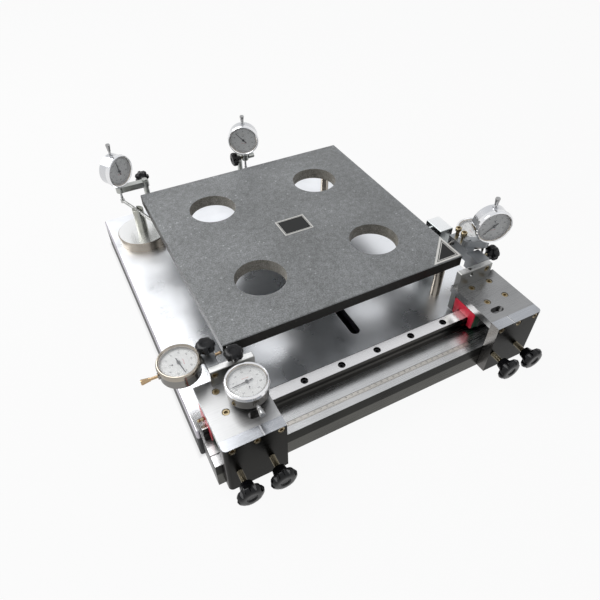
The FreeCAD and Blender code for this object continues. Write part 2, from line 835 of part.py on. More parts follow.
def dial_bezel():
    """Bezel ring, dial plate and crystal, which turn together to set zero."""
    outer = bezel_d / 2
    seat = bezel_spigot_d / 2 + turn_clearance
    ring = turned([(seat, -bezel_back), (outer, -bezel_back), (outer, -bezel_front + bezel_bevel),
                   (outer - bezel_bevel, -bezel_front), (outer - bezel_lip - 1, -bezel_front),
                   (outer - bezel_lip, -bezel_front + 1), (outer - bezel_lip, -bezel_spigot_end),
                   (seat, -bezel_spigot_end)], "Y")
    inner = outer - bezel_lip
    dial = rod(2 * inner, (0, -bezel_spigot_end, 0), (0, -bezel_spigot_end - dial_plate_thick, 0))
    dial = dial.cut(rod(pointer_shaft_d + 1, (0, 0, 0), (0, -bezel_front, 0)))
    back = bezel_front - crystal_setback
    crystal = rod(2 * inner, (0, -back, 0), (0, -back + crystal_thick, 0))
    ring = ring.cut(rod(2 * inner, (0, -bezel_front + crystal_setback, 0), (0, -bezel_spigot_end, 0)))
    return group([ring, dial, crystal])


def dial_plunger(reach):
    """Plunger with contact point and cap; reach is how far the point stands below the dial's centre."""
    tip = turned([(0, 0), (tip_ball_r * 0.7, 0.3), (tip_ball_r, 1.2), (tip_d / 2, tip_length - 2.2),
                  (tip_d / 2, tip_length), (0, tip_length)], "Z").translated(V(0, 0, -reach))
    top = plunger_length - reach
    shaft = rod(plunger_d, (0, 0, -reach + tip_length), (0, 0, top - cap_length))
    cap = turned([(0, 0), (cap_foot_d / 2, 0), (cap_foot_d / 2, 2), (cap_top_d / 2, cap_length - 1.5),
                  (cap_top_d / 2 - 0.6, cap_length), (0, cap_length)], "Z")
    return join([tip, shaft, cap.translated(V(0, 0, top - cap_length))])


def dial_pointer(angle):
    """Pointer on its shaft, turned to the angle at which it stands at rest."""
    level = -bezel_spigot_end - dial_plate_thick - pointer_rise
    half = pointer_width / 2
    blade = prism([(-half, level, -pointer_tail), (-half * 0.6, level, pointer_length - 2),
                   (0, level, pointer_length), (half * 0.6, level, pointer_length - 2),
                   (half, level, -pointer_tail)], (0, -pointer_thick, 0))
    hub = rod(pointer_hub_d, (0, level + 0.5, 0), (0, level + 0.5 - pointer_hub, 0))
    shaft = rod(pointer_shaft_d, (0, level, 0), (0, -plunger_d / 2 - 1, 0))
    pointer = join([blade, hub, shaft])
    pointer.rotate(V(0, 0, 0), V(0, 1, 0), angle)
    return pointer


def place_dial(shape, centre, measure, face):
    """Puts a dial part in the world: measure is the plunger's outward way, face is where the dial looks."""
    y, z = V(*face) * -1, V(*measure) * -1
    x = y.cross(z)
    matrix = FreeCAD.Matrix(x.x, y.x, z.x, centre[0], x.y, y.y, z.y, centre[1],
                            x.z, y.z, z.z, centre[2], 0, 0, 0, 1)
    placed = shape.copy()
    placed.Placement = FreeCAD.Placement(matrix).multiply(shape.Placement)
    return placed


def facing(degrees):
    return (math.cos(math.radians(degrees)), math.sin(math.radians(degrees)), 0)


def dial_list():
    """Each dial's name, centre, measuring direction, face direction, reach and pointer angle."""
    up, down = (0, 0, 1), (0, 0, -1)
    near = edge_x + touch_gap
    tip_z = lever_top + touch_gap
    return [
        ("left_side", (-near - reach_left_side, left_side_dial_y, stem_z), (1, 0, 0), up,
         reach_left_side, 261),
        ("left_front", (left_front_dial_x, -near - reach_left_front, stem_z), (0, 1, 0), up,
         reach_left_front, 86),
        ("right_side", (near + reach_right_side, right_side_dial_y, right_stem_z), (-1, 0, 0), up,
         reach_right_side, 100),
        ("right_free", (right_free_dial_x, right_free_dial_y, right_free_dial_z), down,
         facing(right_free_facing), reach_right_free, 226),
        ("back_left", (back_left_dial_x, back_left_dial_y, tip_z + reach_back_left), down,
         facing(back_left_facing), reach_back_left, 349),
        ("back_middle", (back_middle_dial_x, back_middle_dial_y, tip_z + reach_back_middle), down,
         facing(back_middle_facing), reach_back_middle, 316),
    ]


# Knobs


def big_knob(x):
    length = clamp_shank_out + front_plate_thick + carriage_front_gap - touch_gap
    knob = star_knob(big_knob_d, big_knob_head, big_knob_hub_d, big_knob_hub, big_knob_lobes,
                     clamp_screw_d, length)
    return aim(knob, (x, front_face_y - clamp_shank_out, clamp_z), (0, -1, 0))


def small_knob(seat, direction, stem_distance, shank_out=small_knob_shank_out):
    """A small star knob whose screw enters at seat and stops short of the stem by the touch gap."""
    length = stem_distance + shank_out - touch_gap
    knob = star_knob(small_knob_d, small_knob_head, small_knob_hub_d, small_knob_hub, small_knob_lobes,
                     small_screw_d, length)
    foot = V(*seat) + V(*direction) * shank_out
    return aim(knob, tuple(foot), direction)


# Stands at the back


def stand_column(pivot, heading):
    """Round foot, forked pillar and pivot pin; heading is the lever's direction in degrees."""
    x, y = pivot
    low, high = base_top, base_top + foot_thick
    foot = turned([(0, low), (foot_d / 2, low), (foot_d / 2, high - foot_edge),
                   (foot_d / 2 - foot_edge, high), (0, high)], "Z")
    top = lever_top + pillar_above_lever
    pillar = turned([(0, high), (pillar_d / 2, high), (pillar_d / 2, top - 1), (pillar_d / 2 - 1, top),
                     (0, top)], "Z")
    half = lever_d / 2 + lever_slot_gap
    floor = lever_z - lever_d / 2 - lever_slot_floor
    slot = box((-pillar_d, -half, floor), (pillar_d, half, top + 1))
    hole = rod(pivot_d, (0, -pillar_d, lever_z), (0, pillar_d, lever_z))
    pillar = pillar.cut(slot).cut(hole)
    reach = pillar_d / 2 - 0.6
    pin = rod(pivot_d, (0, -reach, lever_z), (0, reach, lever_z))
    solids = [foot, pillar, pin]
    for solid in solids:
        solid.rotate(V(0, 0, 0), V(0, 0, 1), heading)
        solid.translate(V(x, y, 0))
    return solids


def lever(pivot, heading):
    """Rocking lever: pad under the plunger at one end, nub under the plate at the other."""
    beam = rod(lever_d, (-lever_arm, 0, lever_z), (lever_arm, 0, lever_z))
    pad = rod(lever_pad_d, (-lever_arm, 0, lever_z - lever_d / 2), (-lever_arm, 0, lever_top))
    nub_top = plate_bottom - touch_gap
    nub = rod(lever_nub_d, (lever_arm, 0, lever_z), (lever_arm, 0, nub_top - 2))
    dome = Part.makeCone(lever_nub_d / 2, lever_nub_d / 5, 2, V(lever_arm, 0, nub_top - 2))
    body = join([beam, pad, nub, dome])
    body = body.cut(rod(pivot_d + 2 * turn_clearance, (0, -lever_d, lever_z), (0, lever_d, lever_z)))
    body.rotate(V(0, 0, 0), V(0, 0, 1), heading)
    body.translate(V(pivot[0], pivot[1], 0))
    return body


def pivot_from(dial_x, dial_y, heading):
    """The lever's pivot, one arm's length from the plunger along the lever."""
    run = facing(heading)
    return (dial_x + lever_arm * run[0], dial_y + lever_arm * run[1])


def stand_parts(dial, post, knob_side):
    """Post and clamp bar of one stand; knob_side is the way in which the clamp knob stands out."""
    name, centre = dial[0], dial[1]
    z = centre[2] - holder_clamp_offset
    bar = holder_bar((centre[0], centre[1]), post, z, holder_height, True)
    clamped = post if knob_side[1] else (centre[0], centre[1])
    pressed_d = post_d if knob_side[1] else stem_d
    reach = holder_end + 2
    start = V(clamped[0], clamped[1], z)
    bar = bar.cut(rod(small_screw_d + 2 * turn_clearance, tuple(start), tuple(start + V(*knob_side) * reach)))
    column = rod(post_d, (post[0], post[1], base_top),
                 (post[0], post[1], z + holder_height / 2 + post_above_holder))
    knob = small_knob(tuple(start + V(*knob_side) * holder_end), knob_side, holder_end - pressed_d / 2)
    return bar, column, knob


def build():
    nodes["base_casting"] = base_casting()
    nodes["base_table"] = base_table()
    nodes["upper_rail_bar"] = upper_bar()
    nodes["lower_bar"] = lower_bar()
    nodes["guide_rails"] = guide_rails()
    nodes["frame_bolts"] = frame_bolts()
    nodes["steel_rule"] = steel_rule()
    nodes["support_studs"] = support_studs()
    nodes["side_stop"] = side_stop()
    nodes["calibration_plate"] = calibration_plate()

    for c in (left, right):
        nodes[c.side + "_guide_block"] = guide_block(c)
        nodes[c.side + "_block_ends"] = block_ends(c)
        nodes[c.side + "_top_plate"] = top_plate(c)
        nodes[c.side + "_front_plate"] = front_plate(c)
        nodes[c.side + "_upright"] = upright(c)
        nodes[c.side + "_carriage_screws"] = carriage_screws(c)
        for number, x in enumerate(clamp_places(c), 1):
            nodes["%s_clamp_screw_%d" % (c.side, number)] = big_knob(x)
    nodes["left_dial_arm"] = left_dial_arm()
    nodes["right_dial_arm"] = right_dial_arm()

    stem_cover = stem_below_upright_top - stem_d / 2
    upright_middle_y = (upright_front_y + upright_back_y) / 2
    nodes["left_side_knob"] = small_knob((left_arm_x + left_arm_width / 2, left_side_dial_y, upright_top),
                                         (0, 0, 1), stem_cover)
    nodes["left_front_knob"] = small_knob((left_front_dial_x, upright_middle_y, upright_top),
                                          (0, 0, 1), stem_cover)
    nodes["right_arm_knob"] = small_knob((right_arm_x + right_block_width, right_knob_y,
                                          upright_top - right_knob_below_top), (1, 0, 0), right_knob_depth,
                                         right_knob_shank_out)

    dials = {entry[0]: entry for entry in dial_list()}
    for name, centre, measure, face, reach, angle in dials.values():
        nodes[name + "_dial_case"] = place_dial(dial_case(), centre, measure, face)
        nodes[name + "_dial_bezel"] = place_dial(dial_bezel(), centre, measure, face)
        nodes[name + "_dial_plunger"] = place_dial(dial_plunger(reach), centre, measure, face)
        nodes[name + "_dial_pointer"] = place_dial(dial_pointer(angle), centre, measure, face)

    left_pivot = pivot_from(back_left_dial_x, back_left_dial_y, back_left_lever_angle)
    middle_pivot = pivot_from(back_middle_dial_x, back_middle_dial_y, -90)
    nodes["stand_columns"] = group(stand_column(left_pivot, back_left_lever_angle)
                                   + stand_column(middle_pivot, -90))
    nodes["back_left_lever"] = lever(left_pivot, back_left_lever_angle)
    nodes["back_middle_lever"] = lever(middle_pivot, -90)
    bar_a, post_a, knob_a = stand_parts(dials["back_left"], (back_left_post_x, back_left_dial_y), (0, 1, 0))
    bar_b, post_b, knob_b = stand_parts(dials["back_middle"], (back_middle_dial_x, back_middle_post_y),
                                        (-1, 0, 0))
    z = dials["back_middle"][1][2] - holder_clamp_offset
    boss_start = back_middle_dial_x + holder_end
    boss = rod(holder_boss_d, (boss_start, back_middle_dial_y, z),
               (boss_start + holder_boss, back_middle_dial_y, z))
    nodes["stand_holders"] = group([bar_a, post_a, bar_b, post_b, boss])
    nodes["back_left_knob"] = knob_a
    nodes["back_middle_knob"] = knob_b


def export():
    os.makedirs("parts", exist_ok=True)
    for name, shape in nodes.items():
        shape.exportStep("parts/%s.step" % name)
    print("%d nodes, %d solids" % (len(nodes), sum(len(s.Solids) for s in nodes.values())))


build()
export()
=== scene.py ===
"""Looks of the tile flatness tester: finishes, dials, knobs, screws, rule, studio and camera.

The sizes that describe pieces are in millimetres, times MM where Blender takes them. Places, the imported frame's
boxes, the width given to bevel and the studio are in metres.
"""

import json
import logging
import math
from collections.abc import Callable
from dataclasses import dataclass, field
from enum import Enum

import bpy
from mathutils import Matrix, Vector

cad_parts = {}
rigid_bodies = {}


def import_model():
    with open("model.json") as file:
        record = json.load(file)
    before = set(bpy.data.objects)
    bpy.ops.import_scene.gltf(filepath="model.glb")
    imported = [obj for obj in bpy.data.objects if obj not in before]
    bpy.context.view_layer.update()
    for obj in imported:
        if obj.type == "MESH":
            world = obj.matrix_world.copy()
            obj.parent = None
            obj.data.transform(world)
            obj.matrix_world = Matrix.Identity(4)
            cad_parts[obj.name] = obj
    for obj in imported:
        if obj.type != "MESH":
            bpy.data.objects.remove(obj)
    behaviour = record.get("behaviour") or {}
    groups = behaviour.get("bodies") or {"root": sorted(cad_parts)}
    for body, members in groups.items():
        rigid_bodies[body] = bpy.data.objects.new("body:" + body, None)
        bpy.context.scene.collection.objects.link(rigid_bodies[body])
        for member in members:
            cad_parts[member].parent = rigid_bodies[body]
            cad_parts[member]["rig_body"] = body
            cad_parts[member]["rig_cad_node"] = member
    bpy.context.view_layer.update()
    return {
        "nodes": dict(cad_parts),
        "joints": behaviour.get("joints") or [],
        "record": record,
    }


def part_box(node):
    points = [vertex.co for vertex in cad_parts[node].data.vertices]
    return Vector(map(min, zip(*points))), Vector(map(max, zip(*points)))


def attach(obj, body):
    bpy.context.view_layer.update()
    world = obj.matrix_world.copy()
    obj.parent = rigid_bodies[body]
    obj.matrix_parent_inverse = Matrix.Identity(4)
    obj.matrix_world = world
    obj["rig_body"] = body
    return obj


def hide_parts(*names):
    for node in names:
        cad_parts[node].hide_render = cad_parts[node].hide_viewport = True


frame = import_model()

log = logging.getLogger("tester")
MM = 0.001
JOINTS = {joint["name"]: joint for joint in frame["joints"]}
BODY_OF = {node: body for body, nodes in frame["record"]["behaviour"]["bodies"].items() for node in nodes}
SIDES = ("left", "right")
PRINT_MM = 0.02
PRINT_GAP_MM = 0.01
DIALS = ("left_side", "left_front", "right_side", "right_free", "back_left", "back_middle")


class Axis(Enum):
    """A direction of the row frame, by its index."""

    X = 0
    Y = 1
    Z = 2


class Facing(Enum):
    """Which way a face looks."""

    FRONT = "front"
    NOT_UP = "not up"

    def holds(self, normal: Vector) -> bool:
        """Whether a face with this normal looks that way."""
        if self is Facing.FRONT:
            return normal.y < -0.5
        return normal.z < 0.9


# Finishes


Socket = bpy.types.NodeSocket
Thing = bpy.types.Object


class Nodes:
    """Short calls for building a node tree."""

    def __init__(self, tree: bpy.types.NodeTree) -> None:
        """Works on a tree.

        Args:
            tree: The tree.
        """
        self.tree = tree

    def put(self, target: Socket, value: object) -> None:
        """Sets an input to a plain value, or links a socket to it."""
        if isinstance(value, Socket):
            self.tree.links.new(value, target)
        else:
            target.default_value = value

    def node(self, kind: str, **inputs: object) -> bpy.types.Node:
        """Adds a node and sets its inputs.

        Args:
            kind: The node's type name, without the ShaderNode prefix.
            **inputs: Plain values or sockets by input name, with underscores for spaces.

        Returns:
            The new node.
        """
        made = self.tree.nodes.new("ShaderNode" + kind)
        for name, value in inputs.items():
            self.put(made.inputs[name.replace("_", " ")], value)
        return made

    def noise(self, scale: float, detail: float = 3.0, stretch: Vector = Vector((1, 1, 1))) -> Socket:
        """Fractal noise on Object coordinates.

        Args:
            scale: Cells per metre.
            detail: Octaves.
            stretch: The factor along X, Y and Z.

        Returns:
            The noise value's socket.
        """
        return self.node("TexNoise", Vector=self.coordinates(stretch), Scale=scale, Detail=detail).outputs["Fac"]

    def coordinates(self, stretch: Vector) -> Socket:
        """Object coordinates, scaled along each axis.

        Args:
            stretch: The factor along X, Y and Z.

        Returns:
            The scaled coordinates' socket.
        """
        place = self.node("TexCoord").outputs["Object"]
        return self.node("Mapping", Vector=place, Scale=stretch).outputs["Vector"]

    def ramp(self, value: Socket, stops: list[tuple[float, tuple[float, ...]]]) -> Socket:
        """Maps a value through a colour ramp.

        Args:
            value: The socket to map.
            stops: Position and colour of each stop.

        Returns:
            The colour's socket.
        """
        made = self.node("ValToRGB", Fac=value)
        elements = made.color_ramp.elements
        while len(elements) < len(stops):
            elements.new(0.5)
        for element, (position, color) in zip(elements, stops):
            element.position = position
            element.color = (*color[:3], 1.0)
        return made.outputs["Color"]

    def spread(self, value: Socket, low: float, high: float, start: float = 0.3, end: float = 0.7) -> Socket:
        """Maps a range of a value onto low to high.

        Args:
            value: The socket to map.
            low: Result at the range's start.
            high: Result at its end.
            start: Where the range starts.
            end: Where it ends.

        Returns:
            The result's socket.
        """
        return self.node("MapRange", Value=value, From_Min=start, From_Max=end, To_Min=low,
                         To_Max=high).outputs["Result"]

    def math(self, operation: str, first: Socket, second: Socket | float = 0.0) -> Socket:
        """Joins two values by one operation.

        Args:
            operation: The Math node's operation.
            first: The first value.
            second: The second value.

        Returns:
            The result's socket.
        """
        made = self.node("Math")
        made.operation = operation
        self.put(made.inputs[0], first)
        self.put(made.inputs[1], second)
        return made.outputs[0]

    def mix_colors(self, share: Socket | float, first: Socket, second: object, blend: str = "MIX") -> Socket:
        """Mixes two colours.

        Args:
            share: Share of the second.
            first: The first colour.
            second: The second colour.
            blend: How they mix.

        Returns:
            The colour's socket.
        """
        made = self.node("Mix")
        made.data_type = "RGBA"
        made.blend_type = blend
        for slot, value in ((0, share), (6, first), (7, second)):
            self.put(made.inputs[slot], value)
        return made.outputs[2]

    def mix_shaders(self, share: Socket, first: Socket, second: Socket) -> Socket:
        """Mixes two shaders.

        Args:
            share: Share of the second.
            first: The first shader.
            second: The second shader.

        Returns:
            The shader's socket.
        """
        made = self.node("MixShader", Fac=share)
        self.put(made.inputs[1], first)
        self.put(made.inputs[2], second)
        return made.outputs[0]


class Graph(Nodes):
    """A material's nodes, around its Principled shader."""

    def __init__(self, name: str) -> None:
        """Makes the material.

        Args:
            name: The material's name.
        """
        self.material = bpy.data.materials.new(name)
        self.material.use_nodes = True
        super().__init__(self.material.node_tree)
        self.shader = self.tree.nodes["Principled BSDF"]

    def give(self, name: str, value: object) -> None:
        """Sets one of the shader's inputs."""
        self.put(self.shader.inputs[name], value)

    def bump(self, height: Socket, strength: float, depth: float) -> None:
        """Roughens the surface's normal.

        Args:
            height: The height's socket.
            strength: From 0 to 1.
            depth: Height of the relief in metres.
        """
        made = self.node("Bump", Height=height, Strength=strength, Distance=depth)
        self.give("Normal", made.outputs["Normal"])


@dataclass(frozen=True)
class Finish:
    """A finish with a little grain; the base of all others."""

    name: str
    color: tuple[float, float, float]
    roughness: float
    metallic: float = 0.0
    grain: float = 900.0
    variation: float = 0.08
    shine: float = 0.5
    rim: float = 1.0

    def material(self) -> bpy.types.Material:
        """The finish's material, made on first use."""
        found = bpy.data.materials.get(self.name)
        if found:
            return found
        graph = Graph(self.name)
        graph.give("Metallic", self.metallic)
        graph.give("Specular IOR Level", self.shine)
        graph.give("Specular Tint", (self.rim, self.rim, self.rim, 1))
        self.dress(graph)
        return graph.material

    def shades(self) -> tuple[tuple[float, ...], tuple[float, ...]]:
        """The darkest and the lightest shade of the colour."""
        return (tuple(c * (1 - self.variation) for c in self.color),
                tuple(min(1.0, c * (1 + self.variation)) for c in self.color))

    def dress(self, graph: Graph) -> None:
        """Adds even grain to colour, gloss and normal.

        Args:
            graph: The material to dress.
        """
        dark, light = self.shades()
        grain = graph.noise(self.grain)
        graph.give("Base Color", graph.ramp(grain, [(0.35, dark), (0.65, light)]))
        graph.give("Roughness", graph.spread(grain, self.roughness * 0.85, self.roughness * 1.15))
        graph.bump(grain, 0.05, 0.0001)


@dataclass(frozen=True)
class GroundSteel(Finish):
    """Steel from the surface grinder: fine lines one way, and faint clouds of wear."""

    metallic: float = 1.0
    along: Axis = Axis.X
    lines: float = 0.25
    streak: float = 0.45

    def dress(self, graph: Graph) -> None:
        """Adds grinding lines and clouds.

        Args:
            graph: The material to dress.
        """
        dark, light = self.shades()
        stretch = Vector((1, 1, 1))
        stretch[self.along.value] = 0.015
        lines = graph.noise(2200, 2.0, stretch)
        clouds = graph.noise(14, 4.0)
        mixed = graph.math("ADD", graph.math("MULTIPLY", lines, self.streak),
                           graph.math("MULTIPLY", clouds, 1 - self.streak))
        graph.give("Base Color", graph.ramp(mixed, [(0.36, dark), (0.62, light)]))
        graph.give("Roughness", graph.spread(mixed, self.roughness * 0.7, self.roughness * 1.3))
        graph.bump(lines, self.lines, 0.00003)


@dataclass(frozen=True)
class Granite(Finish):
    """Honed granite: grey ground with darker and paler grains and a few bright ones."""

    contrast: float = 0.19

    def dress(self, graph: Graph) -> None:
        """Adds the grains.

        Args:
            graph: The material to dress.
        """
        ground = graph.noise(540, 4.0)
        base, c = self.color, self.contrast
        stops = [(0.34, tuple(v * (1 - 2 * c) for v in base)), (0.47, tuple(v * (1 - c * 0.5) for v in base)),
                 (0.55, tuple(v * (1 + c * 0.5) for v in base)), (0.68, tuple(v * (1 + 2.4 * c) for v in base))]
        color = graph.ramp(ground, stops)
        cells = graph.node("TexVoronoi", Vector=graph.coordinates(Vector((1, 1, 1))), Scale=75.0)
        flecks = graph.ramp(cells.outputs["Distance"], [(0.07, (1, 1, 1)), (0.12, (0, 0, 0))])
        flecked = graph.mix_colors(flecks, color, (*[min(1, v * (1 + 6 * c)) for v in base], 1.0))
        clouds = graph.math("MULTIPLY", graph.math("ADD", graph.noise(9, 4.0), graph.noise(110, 2.0)), 0.5)
        shade = graph.ramp(clouds, [(0.38, (0.7, 0.7, 0.69)), (0.62, (1.04, 1.04, 1.04))])
        graph.give("Base Color", graph.mix_colors(1.0, flecked, shade, "MULTIPLY"))
        graph.give("Roughness", graph.spread(ground, self.roughness * 0.85, self.roughness * 1.2))
        graph.bump(ground, 0.06, 0.0002)


@dataclass(frozen=True)
class Crystal(Finish):
    """Clear cover glass with a faint haze."""

    opacity: float = 0.1

    def dress(self, graph: Graph) -> None:
        """Makes the glass clear.

        Args:
            graph: The material to dress.
        """
        haze = graph.noise(60, 2.0)
        graph.give("Base Color", graph.ramp(haze, [(0.3, self.color), (0.7, (1, 1, 1))]))
        graph.give("Roughness", self.roughness)
        graph.give("Alpha", self.opacity)


TABLE_TOP = GroundSteel("ground_table", (0.84, 0.85, 0.87), 0.31, variation=0.06, lines=0.06, streak=0.1)
# Painted shade: the faces of the table that do not look up get this darker, purplish copy of the ground top.
TABLE_EDGE_SHADE = GroundSteel("table_edge", (0.46, 0.44, 0.48), 0.35, variation=0.12)
# The casting's own dark paint, made near black so that its walls seen down the slot and in the pockets read as
# painted shade.
CAST_IRON = Finish("cast_iron", (0.05, 0.05, 0.05), 0.6, 0.4, grain=600, variation=0.3)
# Painted light and shade: the carriages' top plates are one ground steel, the left painted lighter and the right
# darker for the light each catches.
LEFT_PLATE_LIT = GroundSteel("left_plate", (0.42, 0.42, 0.42), 0.38, variation=0.12, lines=0.07)
RIGHT_PLATE_SHADE = GroundSteel("right_plate", (0.3, 0.3, 0.3), 0.3, variation=0.12, lines=0.07)
UPRIGHT_STEEL = GroundSteel("upright_steel", (0.6, 0.6, 0.59), 0.34, variation=0.1, lines=0.12)
# Painted shade: the front plates' front faces are near black and their other walls dark grey, copies of the top's
# steel standing in for the shade they fall in.
FRONT_TOP = GroundSteel("front_plate_top", (0.38, 0.39, 0.41), 0.25, variation=0.15, lines=0.12)
FRONT_SIDE_SHADE = GroundSteel("front_plate_side", (0.16, 0.155, 0.15), 0.3, variation=0.25, rim=0.5)
FRONT_FACE_SHADE = GroundSteel("front_plate_dark", (0.014, 0.0135, 0.012), 0.34, variation=0.4, rim=0.75)
BAR_TOP = GroundSteel("bar_top", (0.52, 0.52, 0.52), 0.28, variation=0.08, lines=0.12)
# Painted shade: the upper bar's faces that do not look up, and the whole lower bar, are near-black copies of the
# bars' steel.
BAR_FRONT_SHADE = GroundSteel("bar_front", (0.022, 0.022, 0.02), 0.3, variation=0.3, rim=0.65)
LOW_BAR_SHADE = GroundSteel("low_bar", (0.075, 0.074, 0.067), 0.28, variation=0.25, rim=0.8)
RAIL_TOP = GroundSteel("rail_top", (0.7, 0.69, 0.69), 0.2, lines=0.12)
# Painted shade: the rails' flanks and grooves, a near-black copy of the rail steel.
RAIL_SIDE_SHADE = GroundSteel("rail_side", (0.033, 0.032, 0.03), 0.18, variation=0.3, rim=0.5)
BLOCK_STEEL = GroundSteel("block_steel", (0.3, 0.3, 0.3), 0.22, variation=0.2)
TURNED_STEEL = Finish("turned_steel", (0.45, 0.45, 0.44), 0.24, 1.0, grain=1600)
FOOT_TOP = Finish("foot_top", (0.84, 0.84, 0.83), 0.26, 1.0, grain=1600, variation=0.04)
# Painted shade with a painted warm reflection: the stand feet's walls are a darker brown copy, and the pillars a
# grey-green copy, of the feet's near-white top.
FOOT_SIDE_SHADE = GroundSteel("foot_side", (0.36, 0.32, 0.27), 0.22, along=Axis.Z, variation=0.35, lines=0.12)
PILLAR_SHADE = GroundSteel("pillar_steel", (0.4, 0.4, 0.36), 0.24, along=Axis.Z, variation=0.25, lines=0.12)
HOLDER_STEEL = GroundSteel("holder_steel", (0.4, 0.41, 0.39), 0.3, variation=0.15, lines=0.12)
# Painted shade: the side stop's walls, a darker copy of its near-white top.
STOP_SIDE_SHADE = GroundSteel("stop_steel", (0.3, 0.32, 0.32), 0.3, along=Axis.Z, variation=0.15)
STOP_TOP = GroundSteel("stop_top", (0.85, 0.86, 0.86), 0.3, along=Axis.Y, variation=0.05)
RULE_STEEL = GroundSteel("rule_steel", (0.5, 0.475, 0.44), 0.34)
GRANITE = Granite("granite", (0.215, 0.222, 0.226), 0.45)
# Painted shade on the granite's four sides, and painted light on the walls of its bores: darker and lighter copies
# of the top's granite.
GRANITE_SIDE_SHADE = Granite("granite_side", (0.02, 0.019, 0.017), 0.45, shine=0.15)
GRANITE_BORE_LIT = Granite("granite_hole", (0.29, 0.273, 0.24), 0.55)
BAKELITE = Finish("black_bakelite", (0.004, 0.004, 0.005), 0.2, grain=700, variation=0.3, shine=0.3, rim=0.8)
ZINC = Finish("yellow_zinc", (0.33, 0.27, 0.17), 0.32, 1.0, grain=2500, variation=0.2)
STUD_STEEL = Finish("stud_steel", (0.16, 0.14, 0.1), 0.26, 1.0, grain=2500, variation=0.2)
ARM_STEEL = GroundSteel("arm_steel", (0.3, 0.31, 0.32), 0.42, along=Axis.Y, variation=0.15, lines=0.12)
# Painted shade: the uprights' faces that do not look up, a darker copy of their steel.
UPRIGHT_SIDE_SHADE = GroundSteel("upright_side", (0.26, 0.26, 0.25), 0.36, variation=0.15, lines=0.12)
PLUNGER_STEEL = Finish("plunger_steel", (0.36, 0.36, 0.36), 0.16, 1.0, grain=2600, variation=0.1)
BRASS_TINT = Finish("brass_tint", (0.42, 0.3, 0.18), 0.25, 1.0, grain=2600, variation=0.1)
BLACK_OXIDE = Finish("black_oxide", (0.02, 0.02, 0.022), 0.4, 0.6, grain=2500)
CHROME = Finish("chrome", (0.78, 0.78, 0.79), 0.07, 1.0, grain=2600, variation=0.03)
SATIN_CHROME = Finish("satin_chrome", (0.62, 0.625, 0.64), 0.14, 1.0, grain=2600, variation=0.05)
# Painted shade: a darker copy of the satin chrome, for the cases of the dials that lie flat.
SHADED_CHROME = Finish("dark_chrome", (0.22, 0.212, 0.2), 0.14, 1.0, grain=2600, variation=0.1, rim=0.7)
# Bronze-tinted chrome for every dial's inner lip; on the left side dial's bezel it is a painted dark reflection.
BRONZE_TINT_AND_REFLECTION = Finish("bronze_chrome_and_reflection", (0.34, 0.305, 0.26), 0.14, 1.0, grain=2600, variation=0.06, rim=0.85)
DIAL_PAPER = Finish("dial_white", (0.78, 0.78, 0.77), 0.42, grain=500, variation=0.02)
INK = Finish("dial_ink", (0.015, 0.015, 0.017), 0.5, grain=2500, variation=0.2)
RED_INK = Finish("red_ink", (0.6, 0.06, 0.06), 0.5, grain=2500, variation=0.1)
POINTER_BLACK = Finish("pointer_black", (0.012, 0.012, 0.016), 0.35, grain=1500, variation=0.2)
GLASS = Crystal("dial_crystal", (0.96, 0.98, 1.0), 0.03)
RED_RUBBER = Finish("red_seal", (0.68, 0.015, 0.045), 0.38, grain=1200, variation=0.12)
GREEN_CAP = Finish("green_cap", (0.02, 0.09, 0.045), 0.42, grain=1200, variation=0.12)
INDEX_WHITE = Finish("index_white", (0.75, 0.76, 0.78), 0.45, grain=1500, variation=0.05)
BADGE_SILVER = Finish("badge_silver", (0.62, 0.61, 0.58), 0.35, 1.0, grain=2000)
BADGE_FIELD = Finish("badge_field", (0.014, 0.014, 0.014), 0.5, grain=1500, variation=0.2, shine=0.2)


# Modelling


def deselect_all() -> None:
    """Deselects every object."""
    for thing in bpy.context.selected_objects:
        thing.select_set(False)


def pick(*things: Thing) -> None:
    """Selects only these objects and makes the first active."""
    deselect_all()
    for thing in things:
        thing.select_set(True)
    bpy.context.view_layer.objects.active = things[0]


def editing(thing: Thing) -> None:
    """Enters edit mode on one object with all of it selected."""
    pick(thing)
    bpy.ops.object.mode_set(mode="EDIT")
    bpy.ops.mesh.select_all(action="SELECT")


def leave_edit() -> None:
    """Goes back to object mode."""
    bpy.ops.object.mode_set(mode="OBJECT")


def settle(thing: Thing, place: Matrix = Matrix.Identity(4)) -> Thing:
    """Puts a piece in place and moves its place into its mesh.

    Args:
        thing: The piece.
        place: Its place in the row frame.

    Returns:
        The piece.
    """
    pick(thing)
    bpy.context.view_layer.update()
    thing.matrix_world = place @ thing.matrix_world
    bpy.ops.object.transform_apply(location=True, rotation=True, scale=True)
    return thing


def smooth(thing: Thing, degrees: float = 35.0) -> Thing:
    """Shades a piece smooth, apart from edges sharper than an angle."""
    pick(thing)
    bpy.ops.object.shade_smooth_by_angle(angle=math.radians(degrees))
    return thing


def modify(thing: Thing, kind: str, **values: object) -> Thing:
    """Adds a modifier to a piece and applies it.

    Args:
        thing: The piece.
        kind: The modifier's type.
        **values: Its settings by name.

    Returns:
        The piece.
    """
    pick(thing)
    made = thing.modifiers.new("change", kind)
    for name, value in values.items():
        setattr(made, name, value)
    bpy.ops.object.modifier_apply(modifier=made.name)
    return thing


def bevel(thing: Thing, width: float, segments: int = 2, degrees: float = 32.0) -> Thing:
    """Rounds a piece's sharp edges and applies the modifier.

    Args:
        thing: The piece.
        width: Width of the round in metres.
        segments: Steps across the round.
        degrees: Edges sharper than this are rounded.

    Returns:
        The piece.
    """
    return modify(thing, "BEVEL", width=width, segments=segments, limit_method="ANGLE",
                  angle_limit=math.radians(degrees), use_clamp_overlap=True)


